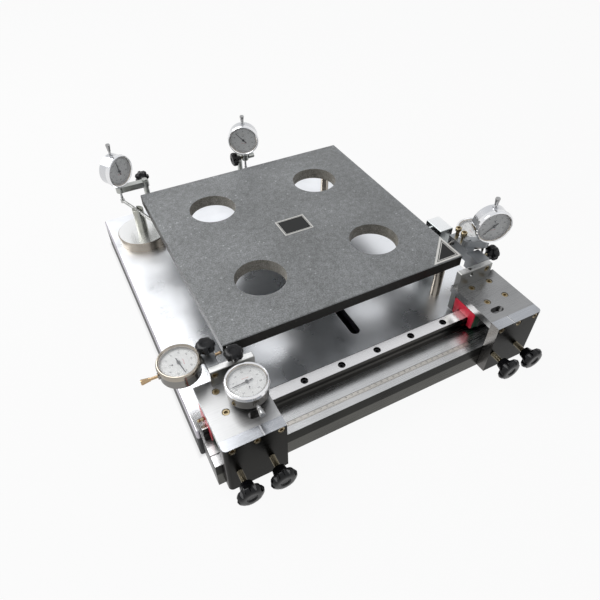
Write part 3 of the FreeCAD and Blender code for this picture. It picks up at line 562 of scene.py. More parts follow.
def cut_away(thing: Thing, cutters: list[Thing]) -> Thing:
    """Cuts tools out of a piece and deletes them.

    Args:
        thing: The piece.
        cutters: The tools.

    Returns:
        The piece.
    """
    tool = join("cutter", cutters)
    modify(thing, "BOOLEAN", operation="DIFFERENCE", solver="EXACT", object=tool)
    bpy.data.objects.remove(tool)
    return thing


def join(name: str, things: list[Thing]) -> Thing:
    """Joins pieces into one object.

    Args:
        name: The result's name.
        things: The pieces.

    Returns:
        The joined piece.
    """
    pick(*things)
    if len(things) > 1:
        bpy.ops.object.join()
    things[0].name = name
    return things[0]


def duplicate(thing: Thing, name: str) -> Thing:
    """A copy of a piece with its own mesh."""
    made = thing.copy()
    made.data = thing.data.copy()
    made.name = name
    bpy.context.scene.collection.objects.link(made)
    return made


def paint(thing: Thing, finish: Finish) -> Thing:
    """Gives all of a piece one finish."""
    thing.data.materials.clear()
    thing.data.materials.append(finish.material())
    return thing


def repaint(thing: Thing, finish: Finish, picks: Callable[[bpy.types.MeshPolygon], bool]) -> None:
    """Gives some of a piece's faces another finish.

    Args:
        thing: The piece.
        finish: Their finish.
        picks: Says whether a face is one of them.
    """
    thing.data.materials.append(finish.material())
    for face in thing.data.polygons:
        if picks(face):
            face.material_index = len(thing.data.materials) - 1


def lathe(name: str, profile_mm: list[tuple[float, float]], steps: int, finish: Finish,
          degrees: float = 30.0) -> Thing:
    """Turns a closed profile about Z.

    Args:
        name: The piece's name.
        profile_mm: Radius and height of each corner, in order.
        steps: Facets around.
        finish: The piece's finish.
        degrees: Edges sharper than this stay sharp.

    Returns:
        The turned piece.
    """
    deselect_all()
    bpy.ops.mesh.primitive_plane_add(size=0.001, location=(0, 0, 0))
    made = bpy.context.object
    made.name = name
    bpy.ops.object.mode_set(mode="EDIT")
    bpy.ops.mesh.merge(type="CENTER")
    corners = [Vector((r * MM, 0, z * MM)) for r, z in profile_mm]
    bpy.ops.transform.translate(value=corners[0])
    for before, after in zip(corners, corners[1:] + corners[:1]):
        bpy.ops.mesh.extrude_region_move(TRANSFORM_OT_translate={"value": after - before})
    bpy.ops.mesh.select_all(action="SELECT")
    bpy.ops.mesh.spin(steps=steps, angle=2 * math.pi, center=(0, 0, 0), axis=(0, 0, 1))
    bpy.ops.mesh.select_all(action="SELECT")
    bpy.ops.mesh.remove_doubles(threshold=1e-6)
    bpy.ops.mesh.dissolve_degenerate(threshold=1e-7)
    outward()
    paint(made, finish)
    return smooth(made, degrees)


def cylinder(radius_mm: float, low_mm: float, high_mm: float, sides: int, at_mm: tuple[float, float] = (0, 0)
             ) -> Thing:
    """An upright round or many-sided bar, as a tool or a start.

    Args:
        radius_mm: Its radius.
        low_mm: Height of its foot.
        high_mm: Height of its top.
        sides: Sides around.
        at_mm: Its place in X and Y.

    Returns:
        The bar.
    """
    deselect_all()
    centre = Vector((at_mm[0], at_mm[1], (low_mm + high_mm) / 2)) * MM
    bpy.ops.mesh.primitive_cylinder_add(vertices=sides, radius=radius_mm * MM, depth=(high_mm - low_mm) * MM,
                                        location=centre)
    return settle(bpy.context.object)


def strip(width_mm: float, length_mm: float, thick_mm: float, foot: Vector) -> Thing:
    """A thin flat strip, with its width along X and its length along Y.

    Args:
        width_mm: Its width.
        length_mm: Its length.
        thick_mm: Its thickness.
        foot: Middle of its underside in metres.

    Returns:
        The strip.
    """
    deselect_all()
    bpy.ops.mesh.primitive_plane_add(size=1, location=foot)
    made = bpy.context.object
    made.scale = (width_mm * MM, length_mm * MM, 1)
    settle(made)
    editing(made)
    bpy.ops.mesh.extrude_region_move(TRANSFORM_OT_translate={"value": (0, 0, thick_mm * MM)})
    outward()
    return made


def outward() -> None:
    """Turns the faces of the piece in edit mode outward, and leaves edit mode."""
    bpy.ops.mesh.select_all(action="SELECT")
    bpy.ops.mesh.normals_make_consistent(inside=False)
    leave_edit()


def along(origin: Vector, direction: Vector) -> Matrix:
    """The place whose Z runs along a direction from an origin."""
    turn = Vector((0, 0, 1)).rotation_difference(Vector(direction)).to_matrix().to_4x4()
    turn.translation = Vector(origin)
    return turn


def ride(thing: Thing, node: str, stands_in: bool = True) -> None:
    """Fixes a finished piece to a node's body.

    Args:
        thing: The piece.
        node: The node.
        stands_in: Whether it shows in the node's place, and not beside it.
    """
    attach(thing, BODY_OF[node])
    if stands_in:
        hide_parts(node)
    log.info("%s rides %s", thing.name, BODY_OF[node])


def merged_copy(node: str, name: str) -> Thing:
    """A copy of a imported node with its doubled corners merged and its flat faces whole.

    Args:
        node: The node.
        name: The copy's name.

    Returns:
        The copy, unparented.
    """
    made = duplicate(frame["nodes"][node], name)
    made.parent = None
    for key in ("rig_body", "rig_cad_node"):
        if key in made:
            del made[key]
    editing(made)
    bpy.ops.mesh.remove_doubles(threshold=2e-6)
    bpy.ops.mesh.dissolve_limited(angle_limit=math.radians(0.5))
    leave_edit()
    if made.data.has_custom_normals:
        pick(made)
        bpy.ops.mesh.customdata_custom_splitnormals_clear()
    return made


def loose_parts(thing: Thing) -> list[Thing]:
    """Splits a piece into its separate solids."""
    pick(thing)
    bpy.ops.mesh.separate(type="LOOSE")
    return list(bpy.context.selected_objects)


def extent(thing: Thing) -> tuple[Vector, Vector]:
    """Lowest and highest corner of a settled piece."""
    spots = [v.co for v in thing.data.vertices]
    low = Vector([min(p[i] for p in spots) for i in range(3)])
    high = Vector([max(p[i] for p in spots) for i in range(3)])
    return low, high


# Machined plates, bars and castings


@dataclass
class MachinedPart:
    """A plate, bar or casting whose edges are eased, with darker copies of its finish painted as shade on faces
    that look another way.
    """

    node: str
    finish: Finish
    others: dict[Facing, Finish] = field(default_factory=dict)
    ease_mm: float = 0.5

    def dress(self, made: Thing) -> None:
        """Paints the part, and its painted shade face by face where it has any.

        Args:
            made: The part's mesh.
        """
        paint(made, self.finish)
        for facing, finish in self.others.items():
            repaint(made, finish, lambda face: face.material_index == 0 and facing.holds(face.normal))

    def build(self) -> None:
        """Eases the edges of a copy of the node, and shows it in the node's place."""
        made = merged_copy(self.node, self.node + "_eased")
        self.dress(made)
        bevel(made, self.ease_mm * MM)
        smooth(made)
        modify(made, "WEIGHTED_NORMAL", keep_sharp=True)
        ride(made, self.node)


@dataclass
class GranitePlate(MachinedPart):
    """The calibration plate and its bored holes, its sides painted near black as shade and the walls of its bores
    painted lighter as lit.
    """

    side_band_mm: float = 3.0

    def dress(self, made: Thing) -> None:
        """Paints the top, the sides in painted shade and the bores in painted light."""
        paint(made, self.finish)
        low, high = extent(made)

        def outside(face: bpy.types.MeshPolygon) -> bool:
            """Whether a face is on one of the plate's four sides."""
            gaps = (face.center.x - low.x, high.x - face.center.x, face.center.y - low.y, high.y - face.center.y)
            return min(gaps) < self.side_band_mm * MM

        repaint(made, GRANITE_SIDE_SHADE, lambda face: abs(face.normal.z) < 0.5 and outside(face))
        repaint(made, GRANITE_BORE_LIT, lambda face: abs(face.normal.z) < 0.5 and not outside(face))


@dataclass
class FrontPlate(MachinedPart):
    """A carriage's front plate, whose index line is filled with white."""

    line_depths_mm: tuple[float, float] = (0.2, 2.0)

    def dress(self, made: Thing) -> None:
        """Paints the plate and the floor of its index line."""
        super().dress(made)
        top = extent(made)[1].z
        repaint(made, INDEX_WHITE, lambda face: not Facing.NOT_UP.holds(face.normal)
                and self.line_depths_mm[0] * MM < top - face.center.z < self.line_depths_mm[1] * MM)


@dataclass
class StandColumns(MachinedPart):
    """The round feet of the stands, with their forked pillars; their walls and pillars get darker copies of the
    tops' finish as painted shade.
    """

    foot_mm: float = 18.0

    def dress(self, made: Thing) -> None:
        """Paints the tops, and the feet's walls and the pillars in painted shade."""
        super().dress(made)
        above = extent(made)[0].z + (self.foot_mm + self.ease_mm) * MM
        # Painted shade: every face above the feet, the pillars, gets the grey-green darker copy.
        repaint(made, PILLAR_SHADE, lambda face: face.center.z > above)


@dataclass
class GuideBlockEnds:
    """The end caps and wiping seals of one guide block, and its grease nipple."""

    side: str
    seal_most_mm: float = 3.0
    ease_mm: float = 0.4

    def build(self) -> None:
        """Splits the node into caps, seals and nipple, and finishes each."""
        node = self.side + "_block_ends"
        parts = loose_parts(merged_copy(node, node + "_part"))
        low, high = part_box(self.side + "_guide_block")
        half_width = (high.y - low.y) / 2
        kinds = {"caps": [], "seals": [], "nipple": []}
        for part in parts:
            lowest, highest = extent(part)
            size = highest - lowest
            kind = "nipple" if size.y < half_width else "caps" if size.x > self.seal_most_mm * MM else "seals"
            kinds[kind].append(part)
        for (name, found), finish in zip(kinds.items(), (GREEN_CAP, RED_RUBBER, ZINC)):
            piece = join("%s_%s" % (node, name), found)
            paint(piece, finish)
            bevel(piece, self.ease_mm * MM)
            smooth(piece)
            ride(piece, node)


# Fasteners


@dataclass
class SocketScrews:
    """The hexagon socket screws of one node, each redrawn in the place of its solid."""

    node: str
    finish: Finish
    across_flats_share: float = 0.5
    socket_depth_share: float = 0.55
    least_head_mm: float = 3.6
    usual_head_mm: float = 6.0

    def model(self, head_radius: float, head: float, shank_radius: float, length: float) -> Thing:
        """One screw with the underside of its head at the origin and its head along +Z.

        Args:
            head_radius: Radius of the head in millimetres.
            head: Height of the head in millimetres.
            shank_radius: Radius of the shank in millimetres.
            length: Length of the shank in millimetres.

        Returns:
            The screw.
        """
        edge = head * 0.1
        top = lathe("screw_head", [(0, 0), (head_radius - edge, 0), (head_radius, edge), (head_radius, head - edge),
                                   (head_radius - edge, head), (0, head)], 32, self.finish)
        key = head_radius * self.across_flats_share / math.cos(math.pi / 6)
        cut_away(top, [cylinder(key, head * (1 - self.socket_depth_share), head + 1, 6)])
        tip = shank_radius * 0.2
        shank = lathe("screw_shank", [(0, 0.01), (shank_radius, 0.01), (shank_radius, tip - length),
                                      (shank_radius - tip, -length), (0, -length)], 20, self.finish)
        return join("screw", [top, shank])

    def build(self) -> None:
        """Finds each solid's axis, head end and sizes, and puts a screw there."""
        made = []
        for part in loose_parts(merged_copy(self.node, self.node + "_part")):
            low, high = extent(part)
            size = high - low
            axis = max(range(3), key=lambda i: size[i])
            centre = (low + high) / 2
            ends = {}
            for sign, level in ((-1, low[axis]), (1, high[axis])):
                rim = [v.co for v in part.data.vertices if abs(v.co[axis] - level) < 1e-5]
                ends[sign] = max(math.dist([p[i] for i in range(3) if i != axis],
                                           [centre[i] for i in range(3) if i != axis]) for p in rim)
            sign = max(ends, key=ends.get)
            head_radius, shank_radius = ends[sign] / MM, ends[-sign] / MM
            far = high[axis] if sign > 0 else low[axis]
            steps = [abs(v.co[axis] - far) for v in part.data.vertices]
            shoulder = min([step for step in steps if step > self.least_head_mm * MM],
                           default=self.usual_head_mm * MM)
            head = shoulder / MM
            direction, seat = Vector((0, 0, 0)), centre.copy()
            direction[axis] = sign
            seat[axis] = far - sign * shoulder
            screw = self.model(head_radius, head, shank_radius, size[axis] / MM - head)
            settle(screw, along(seat, direction))
            made.append(screw)
            bpy.data.objects.remove(part)
        piece = join(self.node + "_screws", made)
        ride(piece, self.node)


@dataclass
class StarKnob:
    """A lobed knob on its threaded stud."""

    node: str
    radius: float
    head: float
    hub_radius: float
    hub: float
    stud_radius: float
    pitch: float
    lobes: int = 7
    scallop_share: float = 0.75
    scallop_place: float = 1.08

    def knob(self) -> Thing:
        """The moulded knob, with its hub's foot at the origin."""
        r, low, high, hub = self.radius, self.hub, self.hub + self.head, self.hub_radius
        crown = r * 0.16
        profile = [(0, high - crown * 0.7), (r * 0.34, high - crown * 0.6), (r * 0.4, high - crown * 0.1),
                   (r * 0.6, high), (r - crown * 1.3, high - crown * 0.3), (r - crown * 0.4, high - crown),
                   (r, high - crown * 2.1), (r, low + crown * 1.7), (r - crown * 0.6, low + crown * 0.6),
                   (hub * 1.25, low), (hub, low - self.hub * 0.25), (hub * 0.86, 0.5), (hub * 0.8, 0), (0, 0)]
        made = lathe("knob", profile, 56, BAKELITE, 40)
        scallop = r * math.sin(math.pi / self.lobes) * self.scallop_share
        cutters = []
        for i in range(self.lobes):
            angle = 2 * math.pi * (i + 0.5) / self.lobes
            reach = r * self.scallop_place
            at = (reach * math.cos(angle), reach * math.sin(angle))
            cutters.append(cylinder(scallop, low - 1, high + 1, 20, at))
        cut_away(made, cutters)
        bevel(made, r * 0.045 * MM, 2, 42)
        return smooth(made, 48)

    def stud(self, length: float) -> Thing:
        """The stud from inside the hub to its tip.

        Args:
            length: Its length below the hub in millimetres.

        Returns:
            The stud.
        """
        r, depth = self.stud_radius, self.pitch * 0.42
        turns = int((length - 1) / self.pitch)
        profile = [(0, 0.8), (r - depth, 0.8)]
        for i in range(turns):
            level = -i * self.pitch
            profile += [(r - depth, level), (r, level - self.pitch * 0.4), (r, level - self.pitch * 0.6)]
        profile += [(r - depth, -turns * self.pitch), (r - depth, -length), (0, -length)]
        return lathe("stud", profile, 20, STUD_STEEL)

    def build(self) -> None:
        """Puts the knob and its stud where the node is."""
        joint = JOINTS[self.node + "_turn"]
        direction = Vector(joint["axis"])
        low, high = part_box(self.node)
        reach = [corner.dot(direction) for corner in (low, high)]
        outer, inner = max(reach), min(reach)
        foot = Vector(joint["pos_m"])
        foot += direction * (outer - (self.hub + self.head) * MM - foot.dot(direction))
        length = (foot.dot(direction) - inner) / MM
        place = along(foot, direction)
        knob = settle(self.knob(), place)
        knob.name = self.node + "_grip"
        stud = settle(self.stud(length), place)
        stud.name = self.node + "_stud"
        for piece in (knob, stud):
            ride(piece, self.node)


# Dial indicators


@dataclass
class DialFace:
    """The pieces that every dial has, modelled once in the dial's own frame: face +Z, plunger cap +Y."""

    bezel_radius: float = 29.0
    seat_radius: float = 26.3
    window_radius: float = 25.5
    shaft_hole_radius: float = 1.3
    floor_level: float = 9.8
    face_level: float = 10.35
    centre_drop: float = 0.05
    centre_gap: float = 0.15
    lip_level: float = 13.2
    glass_level: float = 14.6
    divisions: int = 100
    centre_radius: float = 13.4
    numeral_radius: float = 17.0
    numeral_height: float = 3.4
    count_y: float = 8.3
    unit_y: float = -6.6
    unit_height: float = 2.5
    knurls: int = 120
    knurl_depth: float = 0.35
    # The dial whose bezel gets the bronze chrome as a painted dark reflection.
    tinted: str = "left_side"

    @property
    def centre_level(self) -> float:
        """Height of the fixed middle, a little below the turning plate."""
        return self.face_level - self.centre_drop

    def ring(self) -> Thing:
        """The bezel ring with its coined band."""
        r, w = self.bezel_radius, self.window_radius
        profile = [(self.seat_radius, 7.2), (r - 0.9, 7.2), (r - 0.7, 8.9), (r, 9.5), (r, 13.6), (r - 0.5, 14.2),
                   (r - 0.8, 15.2), (r - 1.5, 15.9), (r - 2.4, 16.0), (w + 0.5, 15.6), (w, 14.8),
                   (w, self.floor_level), (self.seat_radius, 9.7)]
        made = lathe("ring", profile, 2 * self.knurls, CHROME, 32)
        editing(made)
        bpy.ops.mesh.select_all(action="DESELECT")
        leave_edit()
        for vertex in made.data.vertices:
            angle = math.atan2(vertex.co.y, vertex.co.x)
            column = round(angle / math.pi * self.knurls)
            band = math.hypot(vertex.co.x, vertex.co.y) > (r - 0.05) * MM
            vertex.select = band and column % 2 == 0
        bpy.ops.object.mode_set(mode="EDIT")
        bpy.ops.mesh.select_mode(type="VERT")
        share = (r - self.knurl_depth) / r
        bpy.ops.transform.resize(value=(share, share, 1), center_override=(0, 0, 0))
        leave_edit()
        return made

    def lip(self) -> Thing:
        """The tinted ring inside the bezel's window."""
        w, low = self.window_radius, self.lip_level
        return lathe("lip", [(w, low), (w, self.glass_level), (w - 1.1, 13.7), (w - 1.2, low)], 96, BRONZE_TINT_AND_REFLECTION)

    def plate(self) -> Thing:
        """The white plate with the divisions."""
        w, inner, low, high = self.window_radius, self.centre_radius, self.floor_level, self.face_level
        return lathe("plate", [(inner, low), (w, low), (w, high), (inner, high)], 72, DIAL_PAPER)

    def centre(self) -> Thing:
        """The fixed white middle around the pointer's shaft."""
        outer, inner = self.centre_radius - self.centre_gap, self.shaft_hole_radius
        low, high = self.floor_level, self.centre_level
        return lathe("centre", [(inner, low), (outer, low), (outer, high), (inner, high)], 48, DIAL_PAPER)

    def marks(self, count: int, inner: float, outer: float, width: float, level: float) -> Thing:
        """Radial marks, evenly spaced from the top.

        Args:
            count: How many.
            inner: Radius of their inner ends in millimetres.
            outer: Radius of their outer ends in millimetres.
            width: Their width in millimetres.
            level: Height of the surface they are printed on in millimetres.

        Returns:
            The marks.
        """
        foot = Vector((0, (inner + outer) / 2, level + PRINT_GAP_MM)) * MM
        made = strip(width, outer - inner, PRINT_MM, foot)
        editing(made)
        bpy.ops.mesh.spin(steps=count - 1, angle=-2 * math.pi * (count - 1) / count, dupli=True, center=(0, 0, 0),
                          axis=(0, 0, 1))
        outward()
        return made

    def numerals(self) -> list[Thing]:
        """The numbers 0 to 90, clockwise from the top."""
        made = []
        for i in range(10):
            angle = math.pi / 2 - 2 * math.pi * i / 10
            spot = (self.numeral_radius * MM * math.cos(angle), self.numeral_radius * MM * math.sin(angle))
            made.append(words(str(i * 10), self.numeral_height, Vector((*spot, self.face_level * MM))))
        return made

    def print(self) -> Thing:
        """All that is printed on the turning plate."""
        r = self.window_radius
        level = self.face_level
        fine = self.marks(self.divisions, r - 3.6, r - 1.6, 0.24, level)
        fives = self.marks(20, r - 4.4, r - 3.6, 0.3, level)
        tens = self.marks(10, r - 5.4, r - 4.4, 0.42, level)
        made = join("print", [fine, fives, tens] + self.numerals())
        return paint(made, INK)

    def count_scale(self) -> Thing:
        """The small scale of whole turns on the fixed middle."""
        made = self.marks(10, 3.3, 4.3, 0.22, 0)
        settle(made, Matrix.Translation((0, self.count_y * MM, self.centre_level * MM)))
        return paint(made, INK)

    def unit(self) -> Thing:
        """The value of one division, in red on the fixed middle."""
        spot = Vector((0, self.unit_y * MM, self.centre_level * MM))
        return paint(words("0.01 mm", self.unit_height, spot), RED_INK)

    def count_hand(self) -> Thing:
        """The small hand of the turn counter."""
        blade = strip(0.5, 4.4, 0.25, Vector((0, 1.2, 0)) * MM)
        hub = lathe("hub", [(0, -0.6), (0.7, -0.6), (0.9, 0.4), (0, 0.6)], 16, POINTER_BLACK)
        made = join("count_hand", [blade, hub])
        turn = Matrix.Rotation(math.radians(-20), 4, "Z")
        place = Matrix.Translation((0, self.count_y * MM, (self.face_level + 0.5) * MM)) @ turn
        return paint(settle(made, place), POINTER_BLACK)

    def crystal(self) -> Thing:
        """The cover glass, slightly domed."""
        w = self.window_radius
        return lathe("crystal", [(0, 14.4), (w, 14.2), (w, self.glass_level), (w * 0.7, 15.0), (w * 0.35, 15.2),
                                 (0, 15.3)], 64, GLASS)

    def build(self) -> None:
        """Models the pieces once and copies them to each dial."""
        turning = {"bezel": self.ring(), "lip": self.lip(), "plate": self.plate(), "print": self.print(),
                   "crystal": self.crystal()}
        fixed = {"centre": self.centre(), "count_scale": self.count_scale(), "count_hand": self.count_hand(),
                 "unit": self.unit()}
        for dial in DIALS:
            place = dial_place(dial)
            node, case = dial + "_dial_bezel", dial + "_dial_case"
            for name, master in turning.items():
                piece = settle(duplicate(master, "%s_dial_%s_piece" % (dial, name)), place)
                # Painted reflection: one dial's bezel is given the darker bronze chrome.
                if name == "bezel" and dial == self.tinted:
                    paint(piece, BRONZE_TINT_AND_REFLECTION)
                ride(piece, node)
            for name, master in fixed.items():
                ride(settle(duplicate(master, "%s_dial_%s" % (dial, name)), place), case, False)
        for master in (*turning.values(), *fixed.values()):
            bpy.data.objects.remove(master)


def dial_place(dial: str) -> Matrix:
    """The place of a dial's own frame.

    Args:
        dial: The dial's name.

    Returns:
        The matrix from the dial's frame to the row frame.
    """
    turn = JOINTS[dial + "_dial_bezel_turn"]
    face = Vector(turn["axis"]).normalized()
    up = Vector(JOINTS[dial + "_dial_plunger_travel"]["axis"]).normalized()
    made = Matrix((up.cross(face), up, face)).transposed().to_4x4()
    made.translation = Vector(turn["pos_m"])
    return made


def words(text: str, height_mm: float, spot: Vector) -> Thing:
    """Printed figures, lying in XY and read along X.

    Args:
        text: The figures.
        height_mm: Size of the lettering.
        spot: Middle of the lettering.

    Returns:
        The figures as a mesh.
    """
    deselect_all()
    bpy.ops.object.text_add(location=(0, 0, 0))
    made = bpy.context.object
    made.data.body = text
    made.data.size = height_mm * MM
    made.data.align_x = "CENTER"
    made.data.align_y = "CENTER"
    made.data.extrude = PRINT_MM * MM
    made.data.resolution_u = 2
    bpy.ops.object.convert(target="MESH")
    made = bpy.context.object
    return settle(made, Matrix.Translation(spot + Vector((0, 0, PRINT_GAP_MM * MM))))


# Rule and blank plates


@dataclass
class SteelRule:
    """The marks and figures of the rule."""

    first: float = 0.3
    mark_width: float = 0.3
    figure_height: float = 3.6
    figure_middle: float = 4.4

    def row(self, step: int, low: float, high: float) -> Thing:
        """Marks at every given number of millimetres.

        Args:
            step: Millimetres between marks.
            low: Start of each mark from the rule's front edge in millimetres.
            high: End of each mark in millimetres.

        Returns:
            The marks.
        """
        start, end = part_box("steel_rule")
        foot = Vector((start.x + self.first * MM, start.y + (low + high) / 2 * MM, end.z + PRINT_GAP_MM * MM))
        made = strip(self.mark_width, high - low, PRINT_MM, foot)
        modify(made, "ARRAY", count=int((end.x - start.x) / MM / step), use_relative_offset=False,
               use_constant_offset=True, constant_offset_displace=(step * MM, 0, 0))
        editing(made)
        outward()
        return made

    def build(self) -> None:
        """Marks the rule."""
        start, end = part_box("steel_rule")
        rows = [self.row(1, 0.2, 1.5), self.row(5, 1.5, 2.1), self.row(10, 2.1, 2.8)]
        figures = []
        for centimetre in range(1, int((end.x - start.x) / MM / 10)):
            spot = Vector((start.x + (centimetre * 10 + self.first) * MM, start.y + self.figure_middle * MM, end.z))
            figures.append(words(str(centimetre), self.figure_height, spot))
        piece = paint(join("rule_print", rows + figures), INK)
        ride(piece, "steel_rule", False)


@dataclass
class BlankPlate:
    """A thin plate on the granite: bright border, fine bright line and a bare dark field."""

    name: str
    corners_mm: list[tuple[float, float]]
    border: float = 2.0
    gap: float = 0.9
    line: float = 0.7
    thick: float = 0.5
    recess: float = 0.25

    def build(self) -> None:
        """Shapes the plate from a flat outline."""
        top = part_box("calibration_plate")[1].z
        deselect_all()
        bpy.ops.mesh.primitive_circle_add(vertices=len(self.corners_mm), radius=10 * MM, fill_type="NGON")
        made = bpy.context.object
        made.name = self.name
        for vertex, (x, y) in zip(made.data.vertices, self.corners_mm):
            vertex.co = Vector((x * MM, y * MM, top))
        editing(made)
        bpy.ops.mesh.extrude_region_move(TRANSFORM_OT_translate={"value": (0, 0, self.thick * MM)})
        for width, step in ((self.border, -self.recess), (self.gap, self.recess), (self.line, -self.recess)):
            bpy.ops.mesh.inset(thickness=width * MM, depth=0)
            bpy.ops.mesh.extrude_region_move(TRANSFORM_OT_translate={"value": (0, 0, step * MM)})
        outward()
        paint(made, BADGE_SILVER)
        level = top + (self.thick - self.recess) * MM
        repaint(made, BADGE_FIELD, lambda face: abs(face.normal.z) > 0.9 and abs(face.center.z - level) < 0.05 * MM)
        ride(made, "calibration_plate", False)


# Studio


@dataclass
class Studio:
    """Camera, lamps, floor and surroundings."""

    camera_place: Vector = field(default_factory=lambda: Vector((-0.3174, -0.644, 0.6653)))
    look: Vector = field(default_factory=lambda: Vector((0.33069, 0.63447, -0.69864)))
    right: Vector = field(default_factory=lambda: Vector((0.88682, -0.46211, 0.0)))
    focal_px: float = 525.05
    image_px: float = 600.0
    sensor_mm: float = 36.0
    floor_side: float = 12.0
    floor_level: float = -0.0005
    floor_shown: float = 0.94
    world_strength: float = 0.3

    def camera(self) -> None:
        """Sets the camera where the photograph was taken."""
        data = bpy.data.cameras.new("camera")
        data.sensor_width = self.sensor_mm
        data.lens = self.focal_px / self.image_px * self.sensor_mm
        data.clip_start = 0.01
        made = bpy.data.objects.new("camera", data)
        bpy.context.scene.collection.objects.link(made)
        look = self.look.normalized()
        right = self.right.normalized()
        place = Matrix((right, right.cross(look), -look)).transposed().to_4x4()
        place.translation = self.camera_place
        made.matrix_world = place
        bpy.context.scene.camera = made

    def lamp(self, name: str, place: Vector, size: float, power: float) -> None:
        """Adds a square soft lamp aimed at the object.

        Args:
            name: The lamp's name.
            place: Where it hangs.
            size: Its side in metres.
            power: Its power in watts.
        """
        data = bpy.data.lights.new(name, "AREA")
        data.size = size
        data.energy = power
        made = bpy.data.objects.new(name, data)
        bpy.context.scene.collection.objects.link(made)
        made.location = place
        made.rotation_euler = (Vector((0, 0, 0.05)) - place).to_track_quat("-Z", "Y").to_euler()

    def outside(self, graph: Graph) -> Socket:
        """How far a spot of the floor lies outside the base: 0 under it, 1 beyond its edge; it masks the floor's
        painted shadow.

        Args:
            graph: The floor's node tree.

        Returns:
            The value's socket.
        """
        low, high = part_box("base_casting")
        middle, half = (low + high) / 2, (high - low) / 2
        shift = graph.node("Mapping", Vector=graph.node("TexCoord").outputs["Object"],
                           Location=Vector((-middle.x / half.x, -middle.y / half.y, 0)),
                           Scale=Vector((1 / half.x, 1 / half.y, 1)))
        split = graph.node("SeparateXYZ", Vector=shift.outputs["Vector"])
        larger = graph.math("MAXIMUM", *[graph.math("ABSOLUTE", split.outputs[name]) for name in ("X", "Y")])
        return graph.spread(larger, 0.0, 1.0, 0.95, 1.02)

    def floor(self) -> None:
        """Lays the pale floor, white to the camera and to mirrors beyond the base, with the object's shadow on it
        and a painted shadow, near black, under the base.
        """
        deselect_all()
        bpy.ops.mesh.primitive_plane_add(size=self.floor_side, location=(0, 0, self.floor_level))
        made = bpy.context.object
        made.name = "floor"
        settle(made)
        graph = Graph("floor_white")
        outside = self.outside(graph)
        # Painted shadow: near black under the base, pale grey beyond it.
        graph.give("Base Color", graph.ramp(outside, [(0, (0.03, 0.028, 0.025)), (1, (0.45, 0.45, 0.45))]))
        graph.give("Roughness", 0.9)
        path = graph.node("LightPath")
        mirrors = graph.math("MAXIMUM", path.outputs["Is Glossy Ray"], path.outputs["Is Transmission Ray"])
        share = graph.math("MULTIPLY", path.outputs["Is Camera Ray"], self.floor_shown)
        # Under the base the camera and mirrors see the painted shadow, not the white.
        shown = graph.math("MULTIPLY", graph.math("MAXIMUM", mirrors, share), outside)
        white = graph.node("Emission", Color=(1, 1, 1, 1), Strength=1.0)
        mixed = graph.mix_shaders(shown, graph.shader.outputs[0], white.outputs[0])
        graph.put(graph.tree.nodes["Material Output"].inputs["Surface"], mixed)
        made.data.materials.append(graph.material)

    def surroundings(self) -> None:
        """Makes the world an even soft light that the camera and mirrors see as white."""
        world = bpy.data.worlds.new("studio")
        world.use_nodes = True
        bpy.context.scene.world = world
        graph = Nodes(world.node_tree)
        light = graph.tree.nodes["Background"]
        graph.put(light.inputs["Color"], (0.95, 0.97, 1.0, 1))
        graph.put(light.inputs["Strength"], self.world_strength)
        split = graph.node("SeparateXYZ", Vector=graph.node("TexCoord").outputs["Generated"])
        sky = graph.ramp(split.outputs["Z"], [(0, (1, 1, 1)), (1, (0.9, 0.92, 0.95))])
        seen = graph.node("Background", Color=sky, Strength=1.0)
        path = graph.node("LightPath")
        straight = graph.math("MAXIMUM", path.outputs["Is Camera Ray"], path.outputs["Is Transmission Ray"])
        seers = graph.math("MAXIMUM", straight, path.outputs["Is Glossy Ray"])
        mixed = graph.mix_shaders(seers, light.outputs[0], seen.outputs[0])
        graph.put(graph.tree.nodes["World Output"].inputs["Surface"], mixed)

    def build(self) -> None:
        """Sets up the whole studio."""
        bpy.context.scene.view_settings.view_transform = "Standard"
        self.camera()
        self.surroundings()
        self.floor()
        self.lamp("key", Vector((-0.9, 0.8, 1.7)), 1.6, 36)
        self.lamp("fill", Vector((0.9, -1.4, 1.3)), 1.2, 1.5)


# The whole tester

KEPT_NODES: dict[str, Finish] = {
    "steel_rule": RULE_STEEL,
    # Painted shade: the support studs take the feet's brown shaded copy.
    "support_studs": FOOT_SIDE_SHADE,
    "back_left_lever": TURNED_STEEL,
    "back_middle_lever": TURNED_STEEL,
}
# Each second finish below is a darker copy of the first, painted on the faces that do not look up: painted shade.
MACHINED_PARTS = [
    MachinedPart("base_table", TABLE_TOP, {Facing.NOT_UP: TABLE_EDGE_SHADE}),
    MachinedPart("base_casting", CAST_IRON, ease_mm=1.0),
    MachinedPart("upper_rail_bar", BAR_TOP, {Facing.NOT_UP: BAR_FRONT_SHADE}),
    MachinedPart("lower_bar", LOW_BAR_SHADE),
    MachinedPart("guide_rails", RAIL_TOP, {Facing.NOT_UP: RAIL_SIDE_SHADE}),
    GranitePlate("calibration_plate", GRANITE),
    MachinedPart("side_stop", STOP_TOP, {Facing.NOT_UP: STOP_SIDE_SHADE}),
    StandColumns("stand_columns", FOOT_TOP, {Facing.NOT_UP: FOOT_SIDE_SHADE}),
    MachinedPart("stand_holders", HOLDER_STEEL),
]
SIDE_PLATES = {"left": LEFT_PLATE_LIT, "right": RIGHT_PLATE_SHADE}


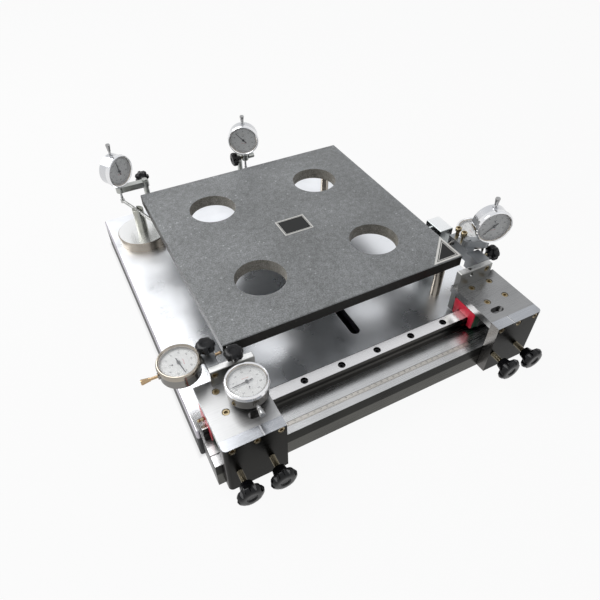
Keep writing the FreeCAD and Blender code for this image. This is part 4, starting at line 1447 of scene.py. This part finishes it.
def dress_kept_nodes() -> None:
    """Gives each node that shows as it is its finish."""
    finishes = dict(KEPT_NODES)
    for dial in DIALS:
        # Painted shade: the cases of the dials that lie flat get the darker copy of the upright dials' chrome.
        flat = abs(JOINTS[dial + "_dial_bezel_turn"]["axis"][2]) > 0.5
        finishes[dial + "_dial_case"] = SHADED_CHROME if flat else SATIN_CHROME
        finishes[dial + "_dial_plunger"] = PLUNGER_STEEL
        finishes[dial + "_dial_pointer"] = POINTER_BLACK
    finishes["left_side_dial_plunger"] = BRASS_TINT
    for node, finish in finishes.items():
        thing = frame["nodes"][node]
        for slot in thing.material_slots:
            slot.material = finish.material()
        log.info("%s keeps its shape", node)


def build_machined_parts() -> None:
    """Builds every plate, bar and casting with eased edges."""
    parts = list(MACHINED_PARTS)
    for side in SIDES:
        # The left top plate gets the lighter copy and the right the darker: painted light and shade.
        plate = SIDE_PLATES[side]
        # The front plates' front and side faces and the uprights' walls get darker copies of their steel: painted
        # shade.
        parts += [MachinedPart(side + "_guide_block", BLOCK_STEEL), MachinedPart(side + "_top_plate", plate),
                  FrontPlate(side + "_front_plate", FRONT_TOP,
                             {Facing.FRONT: FRONT_FACE_SHADE, Facing.NOT_UP: FRONT_SIDE_SHADE}),
                  MachinedPart(side + "_upright", UPRIGHT_STEEL, {Facing.NOT_UP: UPRIGHT_SIDE_SHADE}),
                  MachinedPart(side + "_dial_arm", ARM_STEEL)]
    for part in parts:
        part.build()


def build_knobs() -> None:
    """Builds the large clamp knobs and the small ones."""
    for side in SIDES:
        for number in (1, 2):
            StarKnob("%s_clamp_screw_%d" % (side, number), radius=18.5, head=12, hub_radius=10, hub=10,
                     stud_radius=4, pitch=1.25).build()
    for node in ("left_side_knob", "left_front_knob", "right_arm_knob", "back_left_knob", "back_middle_knob"):
        StarKnob(node, radius=13, head=12, hub_radius=5.5, hub=6, stud_radius=3, pitch=1.0).build()


def main() -> None:
    """Builds the studio and every piece."""
    logging.basicConfig(level=logging.INFO, format="%(name)s %(message)s")
    Studio().build()
    dress_kept_nodes()
    build_machined_parts()
    for side in SIDES:
        GuideBlockEnds(side).build()
        SocketScrews(side + "_carriage_screws", ZINC).build()
    SocketScrews("frame_bolts", BLACK_OXIDE).build()
    build_knobs()
    DialFace().build()
    SteelRule().build()
    BlankPlate("centre_plate", [(-22.7, -28.0), (29.3, -28.0), (29.9, 12.8), (-22.7, 12.8)]).build()
    BlankPlate("corner_plate", [(197.8, -144.8), (145.6, -198.2), (197.8, -198.2)], border=3.4, gap=1.3,
               line=1.0).build()


if __name__ == "__main__":
    main()
